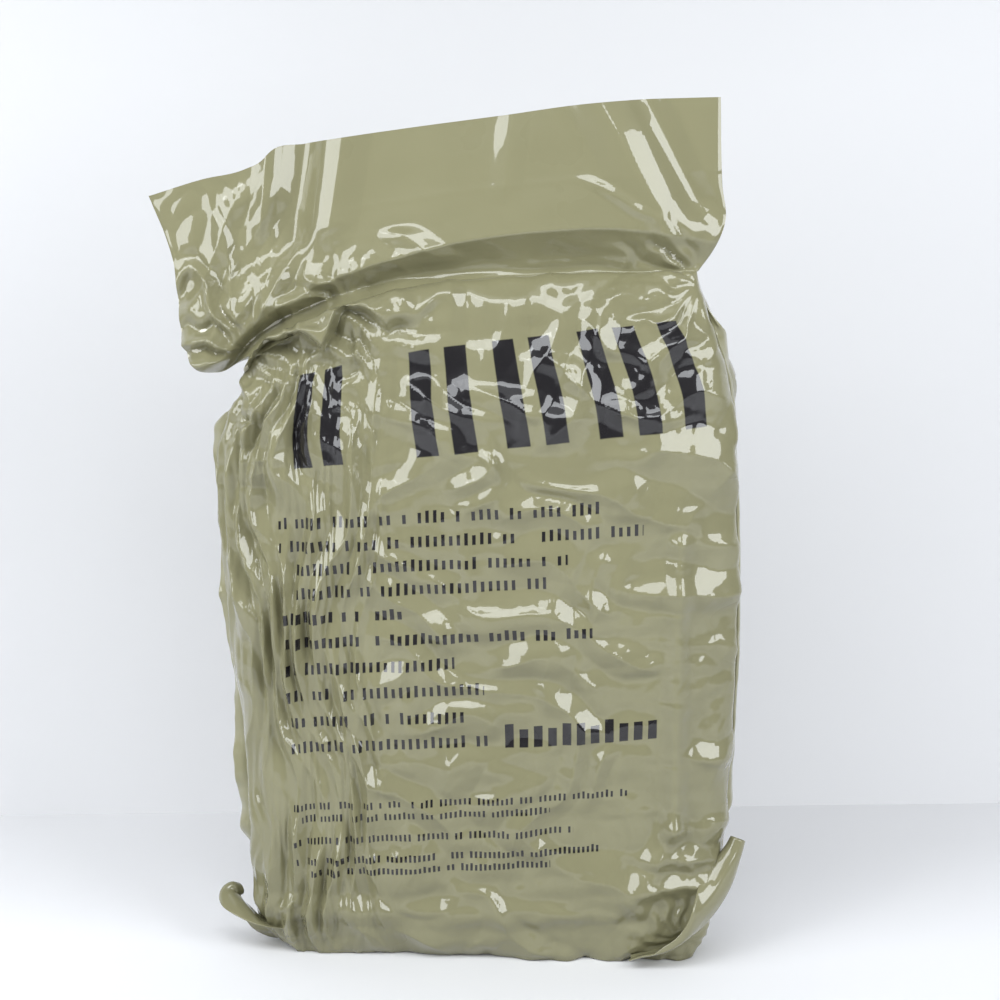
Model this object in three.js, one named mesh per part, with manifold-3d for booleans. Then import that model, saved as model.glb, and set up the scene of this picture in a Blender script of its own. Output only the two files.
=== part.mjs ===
// A vacuum-packed chemical protective coat, standing on its bottom seal.
//
// A flat barrier-film bag is drawn tight by vacuum round a folded hooded coat. Its two film panels
// meet in a welded seam at each side and along the bottom, and above the coat they lie face to face
// as a loose header flap, closed by one narrow weld below the open lips of the mouth.
//
// Frame: millimetres, +Z up, the front of the pack faces -Y, and +X is on the right seen from the
// front. The origin is the middle of the folded bottom seal, on the surface that the pack stands on.

import * as THREE from "three";
import { mergeVertices } from "three/addons/utils/BufferGeometryUtils.js";
import Module from "manifold-3d";

const wasm = await Module();
wasm.setup();

// ---------------------------------------------------------------------------------------------
// Driving dimensions

const FILM = 0.8; // wall of the film solids
const GAP = 0.4; // clearance between pieces that touch
const SEAM_GAP = 0.15; // half of the slit between the front and the back film

const PACK = {
  halfWidth: 166, // widest, from the middle up
  lowHalfWidth: 160, // just above the foot
  bottomHalfWidth: 141,
  neckHalfWidth: 151,
  halfDepth: 36, // deepest, at the middle of the pack
  bottomHalfDepth: 20,
  neckHalfDepth: 2.4,
  height: 449.5, // neck height on the centre line
  neckSlope: 0.207, // the neck rises to the right
  roundness: 3.6, // exponent of the superellipse section
  lean: -9, // sideways offset of the neck from the foot
  footShift: 3,
};

const HEADER = {
  topLeft: [-226, 532],
  topRight: [159, 598],
  neckLeft: [-178, 412.6],
  neckRight: [154.4, 481.4],
  leafOffset: 0.55, // from the mid plane to a leaf's inner face
  sealBelowLips: 46,
  sealWidth: 6,
  sealThickness: 0.4,
  lift: 1.6, // clearance above the neck
};

// A fin's root keeps that clearance from the pack's side; its free edge is a few [x, z] points.
const FIN = { thickness: 1.6, clearance: 2.2, rootSteps: 8 };
const LEFT_SEAL = {
  span: [62, 398],
  edge: [
    [-186, 396],
    [-188, 355],
    [-181, 300],
    [-184, 253],
    [-178, 199],
    [-179, 130],
    [-174, 64],
  ],
};
const RIGHT_SEAL = {
  span: [92, 448],
  edge: [
    [159, 466],
    [167, 440],
    [174, 380],
    [179, 300],
    [179, 200],
    [177, 98],
  ],
};
const LEFT_EAR = {
  span: [3, 44],
  edge: [
    [-176, 50],
    [-184, 36],
    [-172, 16],
  ],
};
const RIGHT_EAR = {
  span: [3, 50],
  edge: [
    [182, 74],
    [192, 72],
    [190, 56],
    [172, 18],
  ],
};
const BOTTOM_SEAL = { length: 270, width: 14, thickness: 1.4 };

const EVERYWHERE = 400; // half the size of a cutting block that clears the pack sideways
const ABOVE = 700; // the top of a cutting block that clears the pack

// The coat's front opening.
const FLAP = { across: [-34, 26], height: [44, 404] };
const FLAP_STRIP = { across: [-30, -8], height: [70, 372], cornerRadius: 3 };
const ZIP = {
  frontGap: 3.4, // from the centre line to a front's edge
  tapeFoot: 40,
  tapeTop: 396,
  tapeEdge: 1.7,
  tapeOuter: 16,
  beadHalf: 1.3,
  beadFoot: 4, // above the foot of the tape
  sliderAt: 356,
  sliderHalfWidth: 5.6,
  sliderHalfHeight: 9,
  plate: 1,
  postHalfWidth: 1.2,
  postHeight: [2, 7], // from the slider's middle
  bailHalfWidth: 1.4,
  bailHalfHeight: 5,
  bailFront: -26.2,
  pullHalfWidth: 3.4,
  pullLevels: [-27.9, -26.6],
  pullHeight: [-42, 3], // from the slider's middle
  boxHalfWidth: 4.6,
  boxLevels: [-22.6, -18.6],
  boxHeight: 8,
};
// Room cut in the fronts for the slider with its pull, and for the bottom box.
const SLIDER_ROOM = { across: [-8, 8], levels: [-28.4, -16.8], height: [310, 368] };
const BOX_ROOM = { across: [-6, 6], levels: [-23.4, -17.8], height: [30, 42] };

// Sleeves, cuffs, tabs and the sleeve pocket.
const SLEEVE = { innerEdge: 2, cuffFoot: 8, cuffTop: 62 };
const TAB = { near: 62, far: 96, height: [16, 46], thickness: 1.6, cornerRadius: 4 };
const POCKET = { across: [-126, -34], height: [176, 296], thickness: 2.4, cornerRadius: 8 };
const POCKET_FLAP = { across: [-128, -32], height: [297, 330], thickness: 1.2, cornerRadius: 6 };

// Hood, skirt, their cords and cord locks.
const HOOD = { across: [-142, 142], foot: 236 };
const SKIRT_TOP = 230;
const CORD = { radius: 1.6, grooveRadius: 2.2, hoodSteps: 24, hemSteps: 14, inset: 1.8 };
const LOCK = { radius: 4, length: 16, behindCord: 2.6, hood: [104.5, 420], hem: [125, 24] };

// Back: label and waist loop.
const LABEL = { across: [-34, 26], height: [318, 396], cornerRadius: 2 };
const LOOP = { across: [-12, 12], height: [120, 196], inset: 4.8, thickness: 1.6, cornerRadius: 3 };
const LOOP_ROOM = { side: 0.5, end: 1, inset: 6.8 };
const SNAP = { radius: 7, length: 2.2, inset: 3.1, height: 182 };

// Levels of the coat's folded layers, from the front film (negative y) to the back film.
const LAYERS = {
  stormFlap: [-34.4, -31.2],
  loopStrip: [-30.8, -29.8],
  hookStrip: [-29.4, -28.6],
  frontShell: [-28.2, -21.2],
  zipTape: [-20.8, -20.0],
  frontLiner: [-19.6, -13.8],
  sleeve: [-13.4, -1.8],
  hood: [-1.4, 9.2],
  backLiner: [9.6, 15.6],
  label: [16.0, 16.6],
  backShell: [17.0, 34.4],
};

// ---------------------------------------------------------------------------------------------
// Finishes

const finishes = {
  film: new THREE.MeshStandardMaterial({ color: 0xa5a27f, roughness: 0.22, metalness: 0.1 }),
  seal: new THREE.MeshStandardMaterial({ color: 0xb7b498, roughness: 0.35, metalness: 0.1 }),
  shellCloth: new THREE.MeshStandardMaterial({ color: 0x6f6a4c, roughness: 0.9 }),
  linerCloth: new THREE.MeshStandardMaterial({ color: 0x2c2d2b, roughness: 0.95 }),
  webbing: new THREE.MeshStandardMaterial({ color: 0x5b583f, roughness: 0.85 }),
  hardware: new THREE.MeshStandardMaterial({ color: 0x23241f, roughness: 0.5 }),
  metal: new THREE.MeshStandardMaterial({ color: 0x4a4a42, roughness: 0.4, metalness: 0.9 }),
  label: new THREE.MeshStandardMaterial({ color: 0xd8d5c6, roughness: 0.8 }),
};

// ---------------------------------------------------------------------------------------------
// Solids

function toSolid(geometry) {
  const bare = geometry.clone();
  bare.deleteAttribute("normal");
  bare.deleteAttribute("uv");
  const merged = mergeVertices(bare, 1e-4);
  const mesh = new wasm.Mesh({
    numProp: 3,
    vertProperties: merged.attributes.position.array,
    triVerts: merged.index.array,
  });
  return new wasm.Manifold(mesh);
}

function toGeometry(solid) {
  const mesh = solid.getMesh();
  const geometry = new THREE.BufferGeometry();
  geometry.setAttribute("position", new THREE.BufferAttribute(mesh.vertProperties, 3));
  geometry.setIndex(new THREE.BufferAttribute(mesh.triVerts, 1));
  return geometry.toNonIndexed();
}

// A box between two corners.
function block([x0, x1], [y0, y1], [z0, z1]) {
  const geometry = new THREE.BoxGeometry(x1 - x0, y1 - y0, z1 - z0);
  geometry.translate((x0 + x1) / 2, (y0 + y1) / 2, (z0 + z1) / 2);
  return toSolid(geometry);
}

// A plate cut to an outline of [x, z] points, between two levels of y.
function plate(outline, [y0, y1]) {
  const geometry = new THREE.ExtrudeGeometry(outlineShape(outline), {
    depth: y1 - y0,
    bevelEnabled: false,
  });
  geometry.rotateX(Math.PI / 2);
  geometry.translate(0, y1, 0);
  return toSolid(geometry);
}

function outlineShape(outline) {
  return new THREE.Shape(outline.map(([x, z]) => new THREE.Vector2(x, z)));
}

// A rectangle with rounded corners, between two levels of y.
function pad([x0, x1], levels, [z0, z1], radius, steps = 3) {
  const corner = (cx, cz, start) =>
    Array.from({ length: steps + 1 }, (_, i) => {
      const angle = start + ((Math.PI / 2) * i) / steps;
      return [cx + radius * Math.cos(angle), cz + radius * Math.sin(angle)];
    });
  return plate(
    [
      ...corner(x1 - radius, z1 - radius, 0),
      ...corner(x0 + radius, z1 - radius, Math.PI / 2),
      ...corner(x0 + radius, z0 + radius, Math.PI),
      ...corner(x1 - radius, z0 + radius, (3 * Math.PI) / 2),
    ],
    levels,
  );
}

// A cylinder of radius r and length l whose axis is turned by a rotation of [x, y, z] angles.
function rod(radius, length, [x, y, z], [rx, ry, rz], sides = 16) {
  const geometry = new THREE.CylinderGeometry(radius, radius, length, sides);
  geometry.applyMatrix4(new THREE.Matrix4().makeRotationFromEuler(new THREE.Euler(rx, ry, rz)));
  geometry.translate(x, y, z);
  return toSolid(geometry);
}

// A cord of that radius through the points.
function cord(points, radius, steps) {
  const section = new THREE.Shape();
  section.absarc(0, 0, radius, 0, 2 * Math.PI);
  const path = new THREE.CatmullRomCurve3(points.map((p) => new THREE.Vector3(...p)));
  return toSolid(
    new THREE.ExtrudeGeometry(section, {
      steps,
      curveSegments: 4, // a circle counts double: 8 sides
      bevelEnabled: false,
      extrudePath: path,
    }),
  );
}

// ---------------------------------------------------------------------------------------------
// The pack's outer form, as functions of height: 0 at the foot, 1 at the neck

const ease = (t) => {
  const s = THREE.MathUtils.clamp(t, 0, 1);
  return s * s * (3 - 2 * s);
};
const quarterRound = (t) => Math.sqrt(1 - THREE.MathUtils.clamp(t, 0, 1) ** 2);

function halfWidthAt(h) {
  const foot = quarterRound(1 - h / 0.1);
  const neck = ease((h - 0.84) / 0.16);
  const side = THREE.MathUtils.lerp(PACK.lowHalfWidth, PACK.halfWidth, ease(h / 0.5));
  const body = THREE.MathUtils.lerp(PACK.bottomHalfWidth, side, foot);
  return THREE.MathUtils.lerp(body, PACK.neckHalfWidth, neck);
}

function halfDepthAt(h) {
  const foot = quarterRound(1 - h / 0.09);
  const crown = 0.92 + 0.08 * Math.sin(Math.PI * h);
  const shoulder = quarterRound((h - 0.83) / 0.17);
  const body = THREE.MathUtils.lerp(PACK.bottomHalfDepth, PACK.halfDepth, foot) * crown;
  return THREE.MathUtils.lerp(PACK.neckHalfDepth, body, shoulder);
}

const centreAt = (h) => PACK.footShift + PACK.lean * h;
const neckHeightAt = (x) => PACK.height + PACK.neckSlope * x;

// The pack's side (-1 left, 1 right) at the height z, as an x.
function sideAt(side, z) {
  const h = z / neckHeightAt(side * PACK.neckHalfWidth);
  return centreAt(h) + side * halfWidthAt(h);
}
const roundedPower = (value) => Math.sign(value) * Math.abs(value) ** (2 / PACK.roundness);

// The pack as one solid, its surface moved in by inset.
function packForm(inset) {
  const around = 36;
  const up = 14;
  const geometry = new THREE.CylinderGeometry(1, 1, 1, around, up);
  geometry.rotateX(Math.PI / 2);
  const position = geometry.attributes.position;
  for (let i = 0; i < position.count; i++) {
    const radius = Math.min(1, Math.hypot(position.getX(i), position.getY(i)));
    const angle = Math.atan2(position.getY(i), position.getX(i));
    const h = (1 - Math.cos(Math.PI * (position.getZ(i) + 0.5))) / 2;
    const halfDepth = Math.max(halfDepthAt(h) - inset, 0.5);
    const x = centreAt(h) + radius * (halfWidthAt(h) - inset) * roundedPower(Math.cos(angle));
    const y = radius * halfDepth * roundedPower(Math.sin(angle));
    position.setXYZ(i, x, y, inset + h * (neckHeightAt(x) - 2 * inset));
  }
  return toSolid(geometry);
}

// ---------------------------------------------------------------------------------------------
// The assembly

const pack = new THREE.Group();

function addPiece(name, solid, finish) {
  const piece = new THREE.Mesh(toGeometry(solid), finish);
  piece.name = name;
  pack.add(piece);
  return piece;
}

// Both films as one shell, stepped up over the folded bottom seal, then slit along the seam.
function addFilms() {
  const stepLength = BOTTOM_SEAL.length / 2 + GAP;
  const stepWidth = BOTTOM_SEAL.width / 2 + GAP;
  const stepHeight = BOTTOM_SEAL.thickness + GAP;
  const recess = block([-stepLength, stepLength], [-stepWidth, stepWidth], [-1, stepHeight]);
  const cover = block(
    [-stepLength - FILM, stepLength + FILM],
    [-stepWidth - FILM, stepWidth + FILM],
    [0, stepHeight + FILM],
  );
  const shell = packForm(0).subtract(packForm(FILM)).add(cover).subtract(recess);
  const sideways = [-EVERYWHERE, EVERYWHERE];
  const tall = [-ABOVE, ABOVE];
  const front = block(sideways, [-EVERYWHERE, -SEAM_GAP], tall);
  const back = block(sideways, [SEAM_GAP, EVERYWHERE], tall);
  addPiece("front_film", shell.intersect(front), finishes.film);
  addPiece("back_film", shell.intersect(back), finishes.film);
}

function addBottomSeal() {
  const seal = block(
    [-BOTTOM_SEAL.length / 2, BOTTOM_SEAL.length / 2],
    [-BOTTOM_SEAL.width / 2, BOTTOM_SEAL.width / 2],
    [0, BOTTOM_SEAL.thickness],
  );
  addPiece("bottom_seal", seal, finishes.seal);
}

// The point that share of the way from a to b.
const between = (a, b, share) => a.map((value, i) => value + (b[i] - value) * share);

function addHeader() {
  const raise = ([x, z]) => [x, z + HEADER.lift];
  const leaf = [
    raise(HEADER.neckLeft),
    raise(HEADER.neckRight),
    HEADER.topRight,
    HEADER.topLeft,
  ];
  const inner = HEADER.leafOffset;
  const outer = inner + FILM;
  addPiece("header_front_leaf", plate(leaf, [-outer, -inner]), finishes.film);
  addPiece("header_back_leaf", plate(leaf, [inner, outer]), finishes.film);

  const leftEdge = Math.hypot(
    HEADER.topLeft[0] - HEADER.neckLeft[0],
    HEADER.topLeft[1] - HEADER.neckLeft[1],
  );
  const topShare = HEADER.sealBelowLips / leftEdge;
  const lowShare = (HEADER.sealBelowLips + HEADER.sealWidth) / leftEdge;
  const half = HEADER.sealThickness / 2;
  const seal = [
    between(HEADER.topLeft, HEADER.neckLeft, lowShare),
    between(HEADER.topRight, HEADER.neckRight, lowShare),
    between(HEADER.topRight, HEADER.neckRight, topShare),
    between(HEADER.topLeft, HEADER.neckLeft, topShare),
  ];
  addPiece("closing_seal", plate(seal, [-half, half]), finishes.seal);
}

// A fin of welded film in the mid plane: its root follows the pack's side, bottom to top.
function fin(side, { span: [foot, top], edge }) {
  const root = Array.from({ length: FIN.rootSteps + 1 }, (_, i) => {
    const z = THREE.MathUtils.lerp(foot, top, i / FIN.rootSteps);
    return [sideAt(side, z) + side * FIN.clearance, z];
  });
  return plate([...root, ...edge], [-FIN.thickness / 2, FIN.thickness / 2]);
}

function addFins() {
  addPiece("left_side_seal", fin(-1, LEFT_SEAL), finishes.seal);
  addPiece("right_side_seal", fin(1, RIGHT_SEAL), finishes.seal);
  addPiece("left_corner_ear", fin(-1, LEFT_EAR), finishes.seal);
  addPiece("right_corner_ear", fin(1, RIGHT_EAR), finishes.seal);
}

// ---------------------------------------------------------------------------------------------
// The folded coat: every layer is the slice of the bag's inside between two levels

function addCoat() {
  const inside = packForm(FILM + 2 * GAP);
  const aboveSeal = [BOTTOM_SEAL.thickness + FILM + 3 * GAP, ABOVE];
  const sideways = [-EVERYWHERE, EVERYWHERE];
  const slice = (xs, levels, zs = aboveSeal) => {
    const low = Math.max(zs[0], aboveSeal[0]);
    return inside.intersect(block(xs, levels, [low, zs[1]]));
  };

  // Front opening: storm flap, its hook-and-loop strips and the slide fastener.
  addPiece("storm_flap", slice(FLAP.across, LAYERS.stormFlap, FLAP.height), finishes.shellCloth);
  const strip = (levels) => pad(FLAP_STRIP.across, levels, FLAP_STRIP.height, FLAP_STRIP.cornerRadius);
  addPiece("flap_loop_strip", strip(LAYERS.loopStrip), finishes.webbing);
  addPiece("flap_hook_strip", strip(LAYERS.hookStrip), finishes.webbing);

  const [tapeFront, tapeBack] = LAYERS.zipTape;
  const zipLevel = (tapeFront + tapeBack) / 2;
  const ordered = (a, b) => [Math.min(a, b), Math.max(a, b)];
  const zipHalf = (side) => {
    const tape = block(
      ordered(side * ZIP.tapeEdge, side * ZIP.tapeOuter),
      LAYERS.zipTape,
      [ZIP.tapeFoot, ZIP.tapeTop],
    );
    const teeth = block(
      ordered(side * GAP, side * (ZIP.frontGap - GAP)),
      [zipLevel - ZIP.beadHalf, zipLevel + ZIP.beadHalf],
      [ZIP.tapeFoot + ZIP.beadFoot, ZIP.sliderAt],
    );
    return tape.add(teeth);
  };
  addPiece("left_zip_half", zipHalf(-1), finishes.webbing);
  addPiece("right_zip_half", zipHalf(1), finishes.webbing);

  const plateOffset = ZIP.beadHalf + GAP; // from the zip's middle to a plate's near face
  const overlap = ZIP.plate / 2;
  const both = (half) => [-half, half];
  const fromSlider = ([low, high]) => [ZIP.sliderAt + low, ZIP.sliderAt + high];
  const sliderPlate = (levels) =>
    pad(both(ZIP.sliderHalfWidth), levels, fromSlider(both(ZIP.sliderHalfHeight)), 3);
  const frontPlate = sliderPlate([zipLevel - plateOffset - ZIP.plate, zipLevel - plateOffset]);
  const backPlate = sliderPlate([zipLevel + plateOffset, zipLevel + plateOffset + ZIP.plate]);
  const post = block(
    both(ZIP.postHalfWidth),
    [zipLevel - plateOffset - overlap, zipLevel + plateOffset + overlap],
    fromSlider(ZIP.postHeight),
  );
  const bail = block(
    both(ZIP.bailHalfWidth),
    [ZIP.bailFront, zipLevel - plateOffset - overlap],
    fromSlider(both(ZIP.bailHalfHeight)),
  );
  const pull = pad(both(ZIP.pullHalfWidth), ZIP.pullLevels, fromSlider(ZIP.pullHeight), 3);
  const boxFoot = ZIP.tapeFoot - ZIP.boxHeight;
  const box = pad(both(ZIP.boxHalfWidth), ZIP.boxLevels, [boxFoot, ZIP.tapeFoot - GAP], 1.5);
  addPiece("zip_slider", frontPlate.add(backPlate).add(post).add(bail), finishes.metal);
  addPiece("zip_pull", pull, finishes.metal);
  addPiece("zip_bottom_box", box, finishes.metal);

  const sliderRoom = block(SLIDER_ROOM.across, SLIDER_ROOM.levels, SLIDER_ROOM.height);
  const boxRoom = block(BOX_ROOM.across, BOX_ROOM.levels, BOX_ROOM.height);
  const fronts = [
    ["left", [-EVERYWHERE, -ZIP.frontGap]],
    ["right", [ZIP.frontGap, EVERYWHERE]],
  ];
  for (const [side, xs] of fronts) {
    const shell = slice(xs, LAYERS.frontShell).subtract(sliderRoom).subtract(boxRoom);
    const liner = slice(xs, LAYERS.frontLiner).subtract(sliderRoom).subtract(boxRoom);
    addPiece(`${side}_front_shell`, shell, finishes.shellCloth);
    addPiece(`${side}_front_liner`, liner, finishes.linerCloth);
  }

  // Sleeves folded in behind the fronts, with cuffs and wrist tabs at their lower ends.
  const [sleeveFront] = LAYERS.sleeve;
  const onSleeve = (piece) => [piece.across, [sleeveFront, sleeveFront + piece.thickness], piece.height];
  const pocket = onSleeve(POCKET);
  const pocketFlap = onSleeve(POCKET_FLAP);
  const roomFor = ([x0, x1], [y0, y1], [z0, z1]) =>
    block([x0 - GAP, x1 + GAP], [y0 - 1, y1 + GAP], [z0 - GAP, z1 + GAP]);
  const sleeves = [
    ["left", [-EVERYWHERE, -SLEEVE.innerEdge], [-TAB.far, -TAB.near]],
    ["right", [SLEEVE.innerEdge, EVERYWHERE], [TAB.near, TAB.far]],
  ];
  for (const [side, xs, tabAcross] of sleeves) {
    const tab = onSleeve({ ...TAB, across: tabAcross });
    const cuff = slice(xs, LAYERS.sleeve, [SLEEVE.cuffFoot, SLEEVE.cuffTop]);
    let sleeve = slice(xs, LAYERS.sleeve, [SLEEVE.cuffTop + GAP, ABOVE]);
    if (side === "left") sleeve = sleeve.subtract(roomFor(...pocket)).subtract(roomFor(...pocketFlap));
    addPiece(`${side}_sleeve`, sleeve, finishes.shellCloth);
    addPiece(`${side}_cuff`, cuff.subtract(roomFor(...tab)), finishes.shellCloth);
    addPiece(`${side}_wrist_tab`, pad(...tab, TAB.cornerRadius), finishes.webbing);
  }
  addPiece("sleeve_pocket", pad(...pocket, POCKET.cornerRadius), finishes.shellCloth);
  addPiece("sleeve_pocket_flap", pad(...pocketFlap, POCKET_FLAP.cornerRadius), finishes.shellCloth);

  // Hood folded down over the back, with its edge cord; the skirt of the coat below it.
  const cordY = LAYERS.hood[0] + CORD.inset; // the cord lies in a groove that is open to the front
  const lay = (route) => route.map(([x, z]) => [x, cordY, z]);
  const hoodRoute = lay([
    [-104, 396],
    [-108, 330],
    [-96, 274],
    [-56, 254],
    [0, 250],
    [56, 254],
    [96, 274],
    [110, 330],
    [104, 410],
  ]);
  const hemRoute = lay([
    [-116, 24],
    [-60, 27],
    [0, 24],
    [60, 27],
    [116, 24],
  ]);
  const lock = ([x, z], turn, grow = 0) =>
    rod(LOCK.radius + grow, LOCK.length + 2 * grow, [x, cordY + LOCK.behindCord, z], turn, 12);
  const upright = [Math.PI / 2, 0, 0];
  const level = [0, 0, Math.PI / 2];
  const [hemX, hemZ] = LOCK.hem;
  const hood = slice(HOOD.across, LAYERS.hood, [HOOD.foot, ABOVE])
    .subtract(cord(hoodRoute, CORD.grooveRadius, CORD.hoodSteps))
    .subtract(lock(LOCK.hood, upright, 2 * GAP));
  const skirt = slice(sideways, LAYERS.hood, [0, SKIRT_TOP])
    .subtract(cord(hemRoute, CORD.grooveRadius, CORD.hemSteps))
    .subtract(lock([-hemX, hemZ], level, 2 * GAP))
    .subtract(lock([hemX, hemZ], level, 2 * GAP));
  addPiece("hood", hood, finishes.shellCloth);
  addPiece("hood_drawcord", cord(hoodRoute, CORD.radius, CORD.hoodSteps), finishes.webbing);
  addPiece("hood_cord_lock", lock(LOCK.hood, upright), finishes.hardware);
  addPiece("lower_skirt", skirt, finishes.shellCloth);
  addPiece("hem_drawcord", cord(hemRoute, CORD.radius, CORD.hemSteps), finishes.webbing);
  addPiece("left_hem_lock", lock([-hemX, hemZ], level), finishes.hardware);
  addPiece("right_hem_lock", lock([hemX, hemZ], level), finishes.hardware);

  // Back: liner, sewn-in size label, outer shell, and the waist loop with its snap.
  const [, backOuter] = LAYERS.backShell;
  const [loopLeft, loopRight] = LOOP.across;
  const [loopFoot, loopTop] = LOOP.height;
  const loopOuter = backOuter - LOOP.inset;
  const loop = pad(LOOP.across, [loopOuter - LOOP.thickness, loopOuter], LOOP.height, LOOP.cornerRadius);
  const loopRoom = block(
    [loopLeft - LOOP_ROOM.side, loopRight + LOOP_ROOM.side],
    [backOuter - LOOP_ROOM.inset, EVERYWHERE],
    [loopFoot - LOOP_ROOM.end, loopTop + LOOP_ROOM.end],
  );
  const snap = rod(SNAP.radius, SNAP.length, [0, backOuter - SNAP.inset, SNAP.height], [0, 0, 0], 16);
  const label = pad(LABEL.across, LAYERS.label, LABEL.height, LABEL.cornerRadius);
  addPiece("back_liner", slice(sideways, LAYERS.backLiner), finishes.linerCloth);
  addPiece("size_label", label, finishes.label);
  addPiece("back_shell", slice(sideways, LAYERS.backShell).subtract(loopRoom), finishes.shellCloth);
  addPiece("waist_loop", loop, finishes.webbing);
  addPiece("waist_loop_snap", snap, finishes.metal);
}

addFilms();
addBottomSeal();
addHeader();
addFins();
addCoat();

export default pack;
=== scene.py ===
"""Dresses the vacuum-packed protective coat: pressed barrier film, welds, ears and finishes."""

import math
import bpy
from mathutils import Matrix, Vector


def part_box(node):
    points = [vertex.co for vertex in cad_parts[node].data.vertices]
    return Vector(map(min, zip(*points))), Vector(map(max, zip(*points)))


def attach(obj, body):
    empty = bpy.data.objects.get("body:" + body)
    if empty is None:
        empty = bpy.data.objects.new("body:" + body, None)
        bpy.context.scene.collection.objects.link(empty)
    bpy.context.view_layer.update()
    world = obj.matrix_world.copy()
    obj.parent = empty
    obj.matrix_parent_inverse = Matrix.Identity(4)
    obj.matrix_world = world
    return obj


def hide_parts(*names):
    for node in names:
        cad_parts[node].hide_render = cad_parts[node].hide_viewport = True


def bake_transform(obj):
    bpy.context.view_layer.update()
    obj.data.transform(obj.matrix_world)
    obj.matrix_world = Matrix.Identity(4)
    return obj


bl_info = {
    "name": "Vacuum-Packed Protective Coat",
    "version": (1, 0, 0),
    "blender": (4, 5, 0),
    "location": "3D View > Sidebar > Packed Coat",
    "description": "Presses barrier film on to the packed coat, welds it and finishes every piece",
    "category": "Object",
}

import bmesh
import bpy
import numpy as np
from mathutils import Vector

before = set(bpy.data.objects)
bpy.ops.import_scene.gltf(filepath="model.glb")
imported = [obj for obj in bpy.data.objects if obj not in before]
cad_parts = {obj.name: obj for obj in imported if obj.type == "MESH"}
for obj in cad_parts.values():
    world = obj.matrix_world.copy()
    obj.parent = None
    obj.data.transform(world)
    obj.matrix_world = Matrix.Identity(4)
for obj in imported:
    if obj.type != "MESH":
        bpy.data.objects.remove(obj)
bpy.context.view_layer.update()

FOOT_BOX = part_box("bottom_seal")


# ---------------------------------------------------------------------------------------------
# Small maths


def ease(t):
    """0 to 1 with a soft start and end."""
    t = np.clip(t, 0.0, 1.0)
    return t * t * (3.0 - 2.0 * t)


def mix(a, b, t):
    """From a, at 0, to b, at 1."""
    return a + (b - a) * t


def quarter_round(t):
    """A quarter circle, 1 at 0 and 0 at 1."""
    return np.sqrt(1.0 - np.clip(t, 0.0, 1.0) ** 2)


def bump(t):
    """A smooth hill, 1 at 0, gone past 1 and before -1."""
    return ease(1.0 - np.abs(t))


def through(t, stations):
    """A smooth curve through (place, value) stations."""
    places, values = np.array(stations, float).T
    slopes = np.gradient(values, places)
    index = np.clip(np.searchsorted(places, t) - 1, 0, len(places) - 2)
    span = places[index + 1] - places[index]
    share = np.clip((t - places[index]) / span, 0.0, 1.0)
    swing = (1.0 - share) * slopes[index] - share * slopes[index + 1]
    return mix(values[index], values[index + 1], ease(share)) + span * share * (1.0 - share) * swing


def soft_noise(u, v, seed, octaves=2):
    """Smooth noise from -1 to 1 with features about one unit across."""
    total = np.zeros(np.broadcast(u, v).shape)
    weight = 1.0
    for octave in range(octaves):
        grid = np.random.default_rng(seed + octave).uniform(-1.0, 1.0, (128, 128))
        shifted_u = (u + 200.0) % 126.0
        shifted_v = (v + 200.0) % 126.0
        i = np.floor(shifted_u).astype(int)
        j = np.floor(shifted_v).astype(int)
        fu = ease(shifted_u - i)
        fv = ease(shifted_v - j)
        low = mix(grid[i, j], grid[i + 1, j], fu)
        high = mix(grid[i, j + 1], grid[i + 1, j + 1], fu)
        total += weight * mix(low, high, fv)
        weight *= 0.5
        u = u * 2.0
        v = v * 2.0
    return total


# ---------------------------------------------------------------------------------------------
# Settings


class PackSettings(bpy.types.PropertyGroup):
    """The pack's outer form, as the frame has it."""

    half_width: bpy.props.FloatProperty(
        name="Half Width", description="Half the pack's width, from the middle up",
        default=0.166, unit="LENGTH")
    low_half_width: bpy.props.FloatProperty(
        name="Low Half Width", description="Half its width just above the foot",
        default=0.160, unit="LENGTH")
    foot_half_width: bpy.props.FloatProperty(
        name="Foot Half Width", description="Half its width on the ground",
        default=0.141, unit="LENGTH")
    neck_half_width: bpy.props.FloatProperty(
        name="Neck Half Width", description="Half its width where the header starts",
        default=0.151, unit="LENGTH")
    half_depth: bpy.props.FloatProperty(
        name="Half Depth", description="Half its greatest depth",
        default=0.036, unit="LENGTH")
    foot_half_depth: bpy.props.FloatProperty(
        name="Foot Half Depth", description="Half its depth on the ground",
        default=0.020, unit="LENGTH")
    neck_half_depth: bpy.props.FloatProperty(
        name="Neck Half Depth", description="Half its depth at the neck",
        default=0.0024, unit="LENGTH")
    roundness: bpy.props.FloatProperty(
        name="Roundness", description="Exponent of the section: 2 is an ellipse, more is squarer",
        default=3.6)
    lean: bpy.props.FloatProperty(
        name="Lean", description="Sideways offset of the neck from the foot",
        default=-0.009, unit="LENGTH")
    foot_shift: bpy.props.FloatProperty(
        name="Foot Shift", description="Sideways offset of the foot", default=0.003, unit="LENGTH")


class FilmSettings(bpy.types.PropertyGroup):
    """The barrier film and how it is pressed."""

    columns: bpy.props.IntProperty(
        name="Columns", description="Mesh squares across the front panel", default=300)
    rows: bpy.props.IntProperty(
        name="Rows", description="Mesh squares up the front panel", default=450)
    steps: bpy.props.IntProperty(
        name="Steps", description="Steps of pressing under vacuum", default=40)
    vacuum: bpy.props.FloatProperty(
        name="Vacuum", description="How far the vacuum draws the film in each step",
        default=0.00003, unit="LENGTH")
    bend: bpy.props.FloatProperty(
        name="Bend", description="How strongly the film resists a sharp fold", default=0.025)


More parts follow.
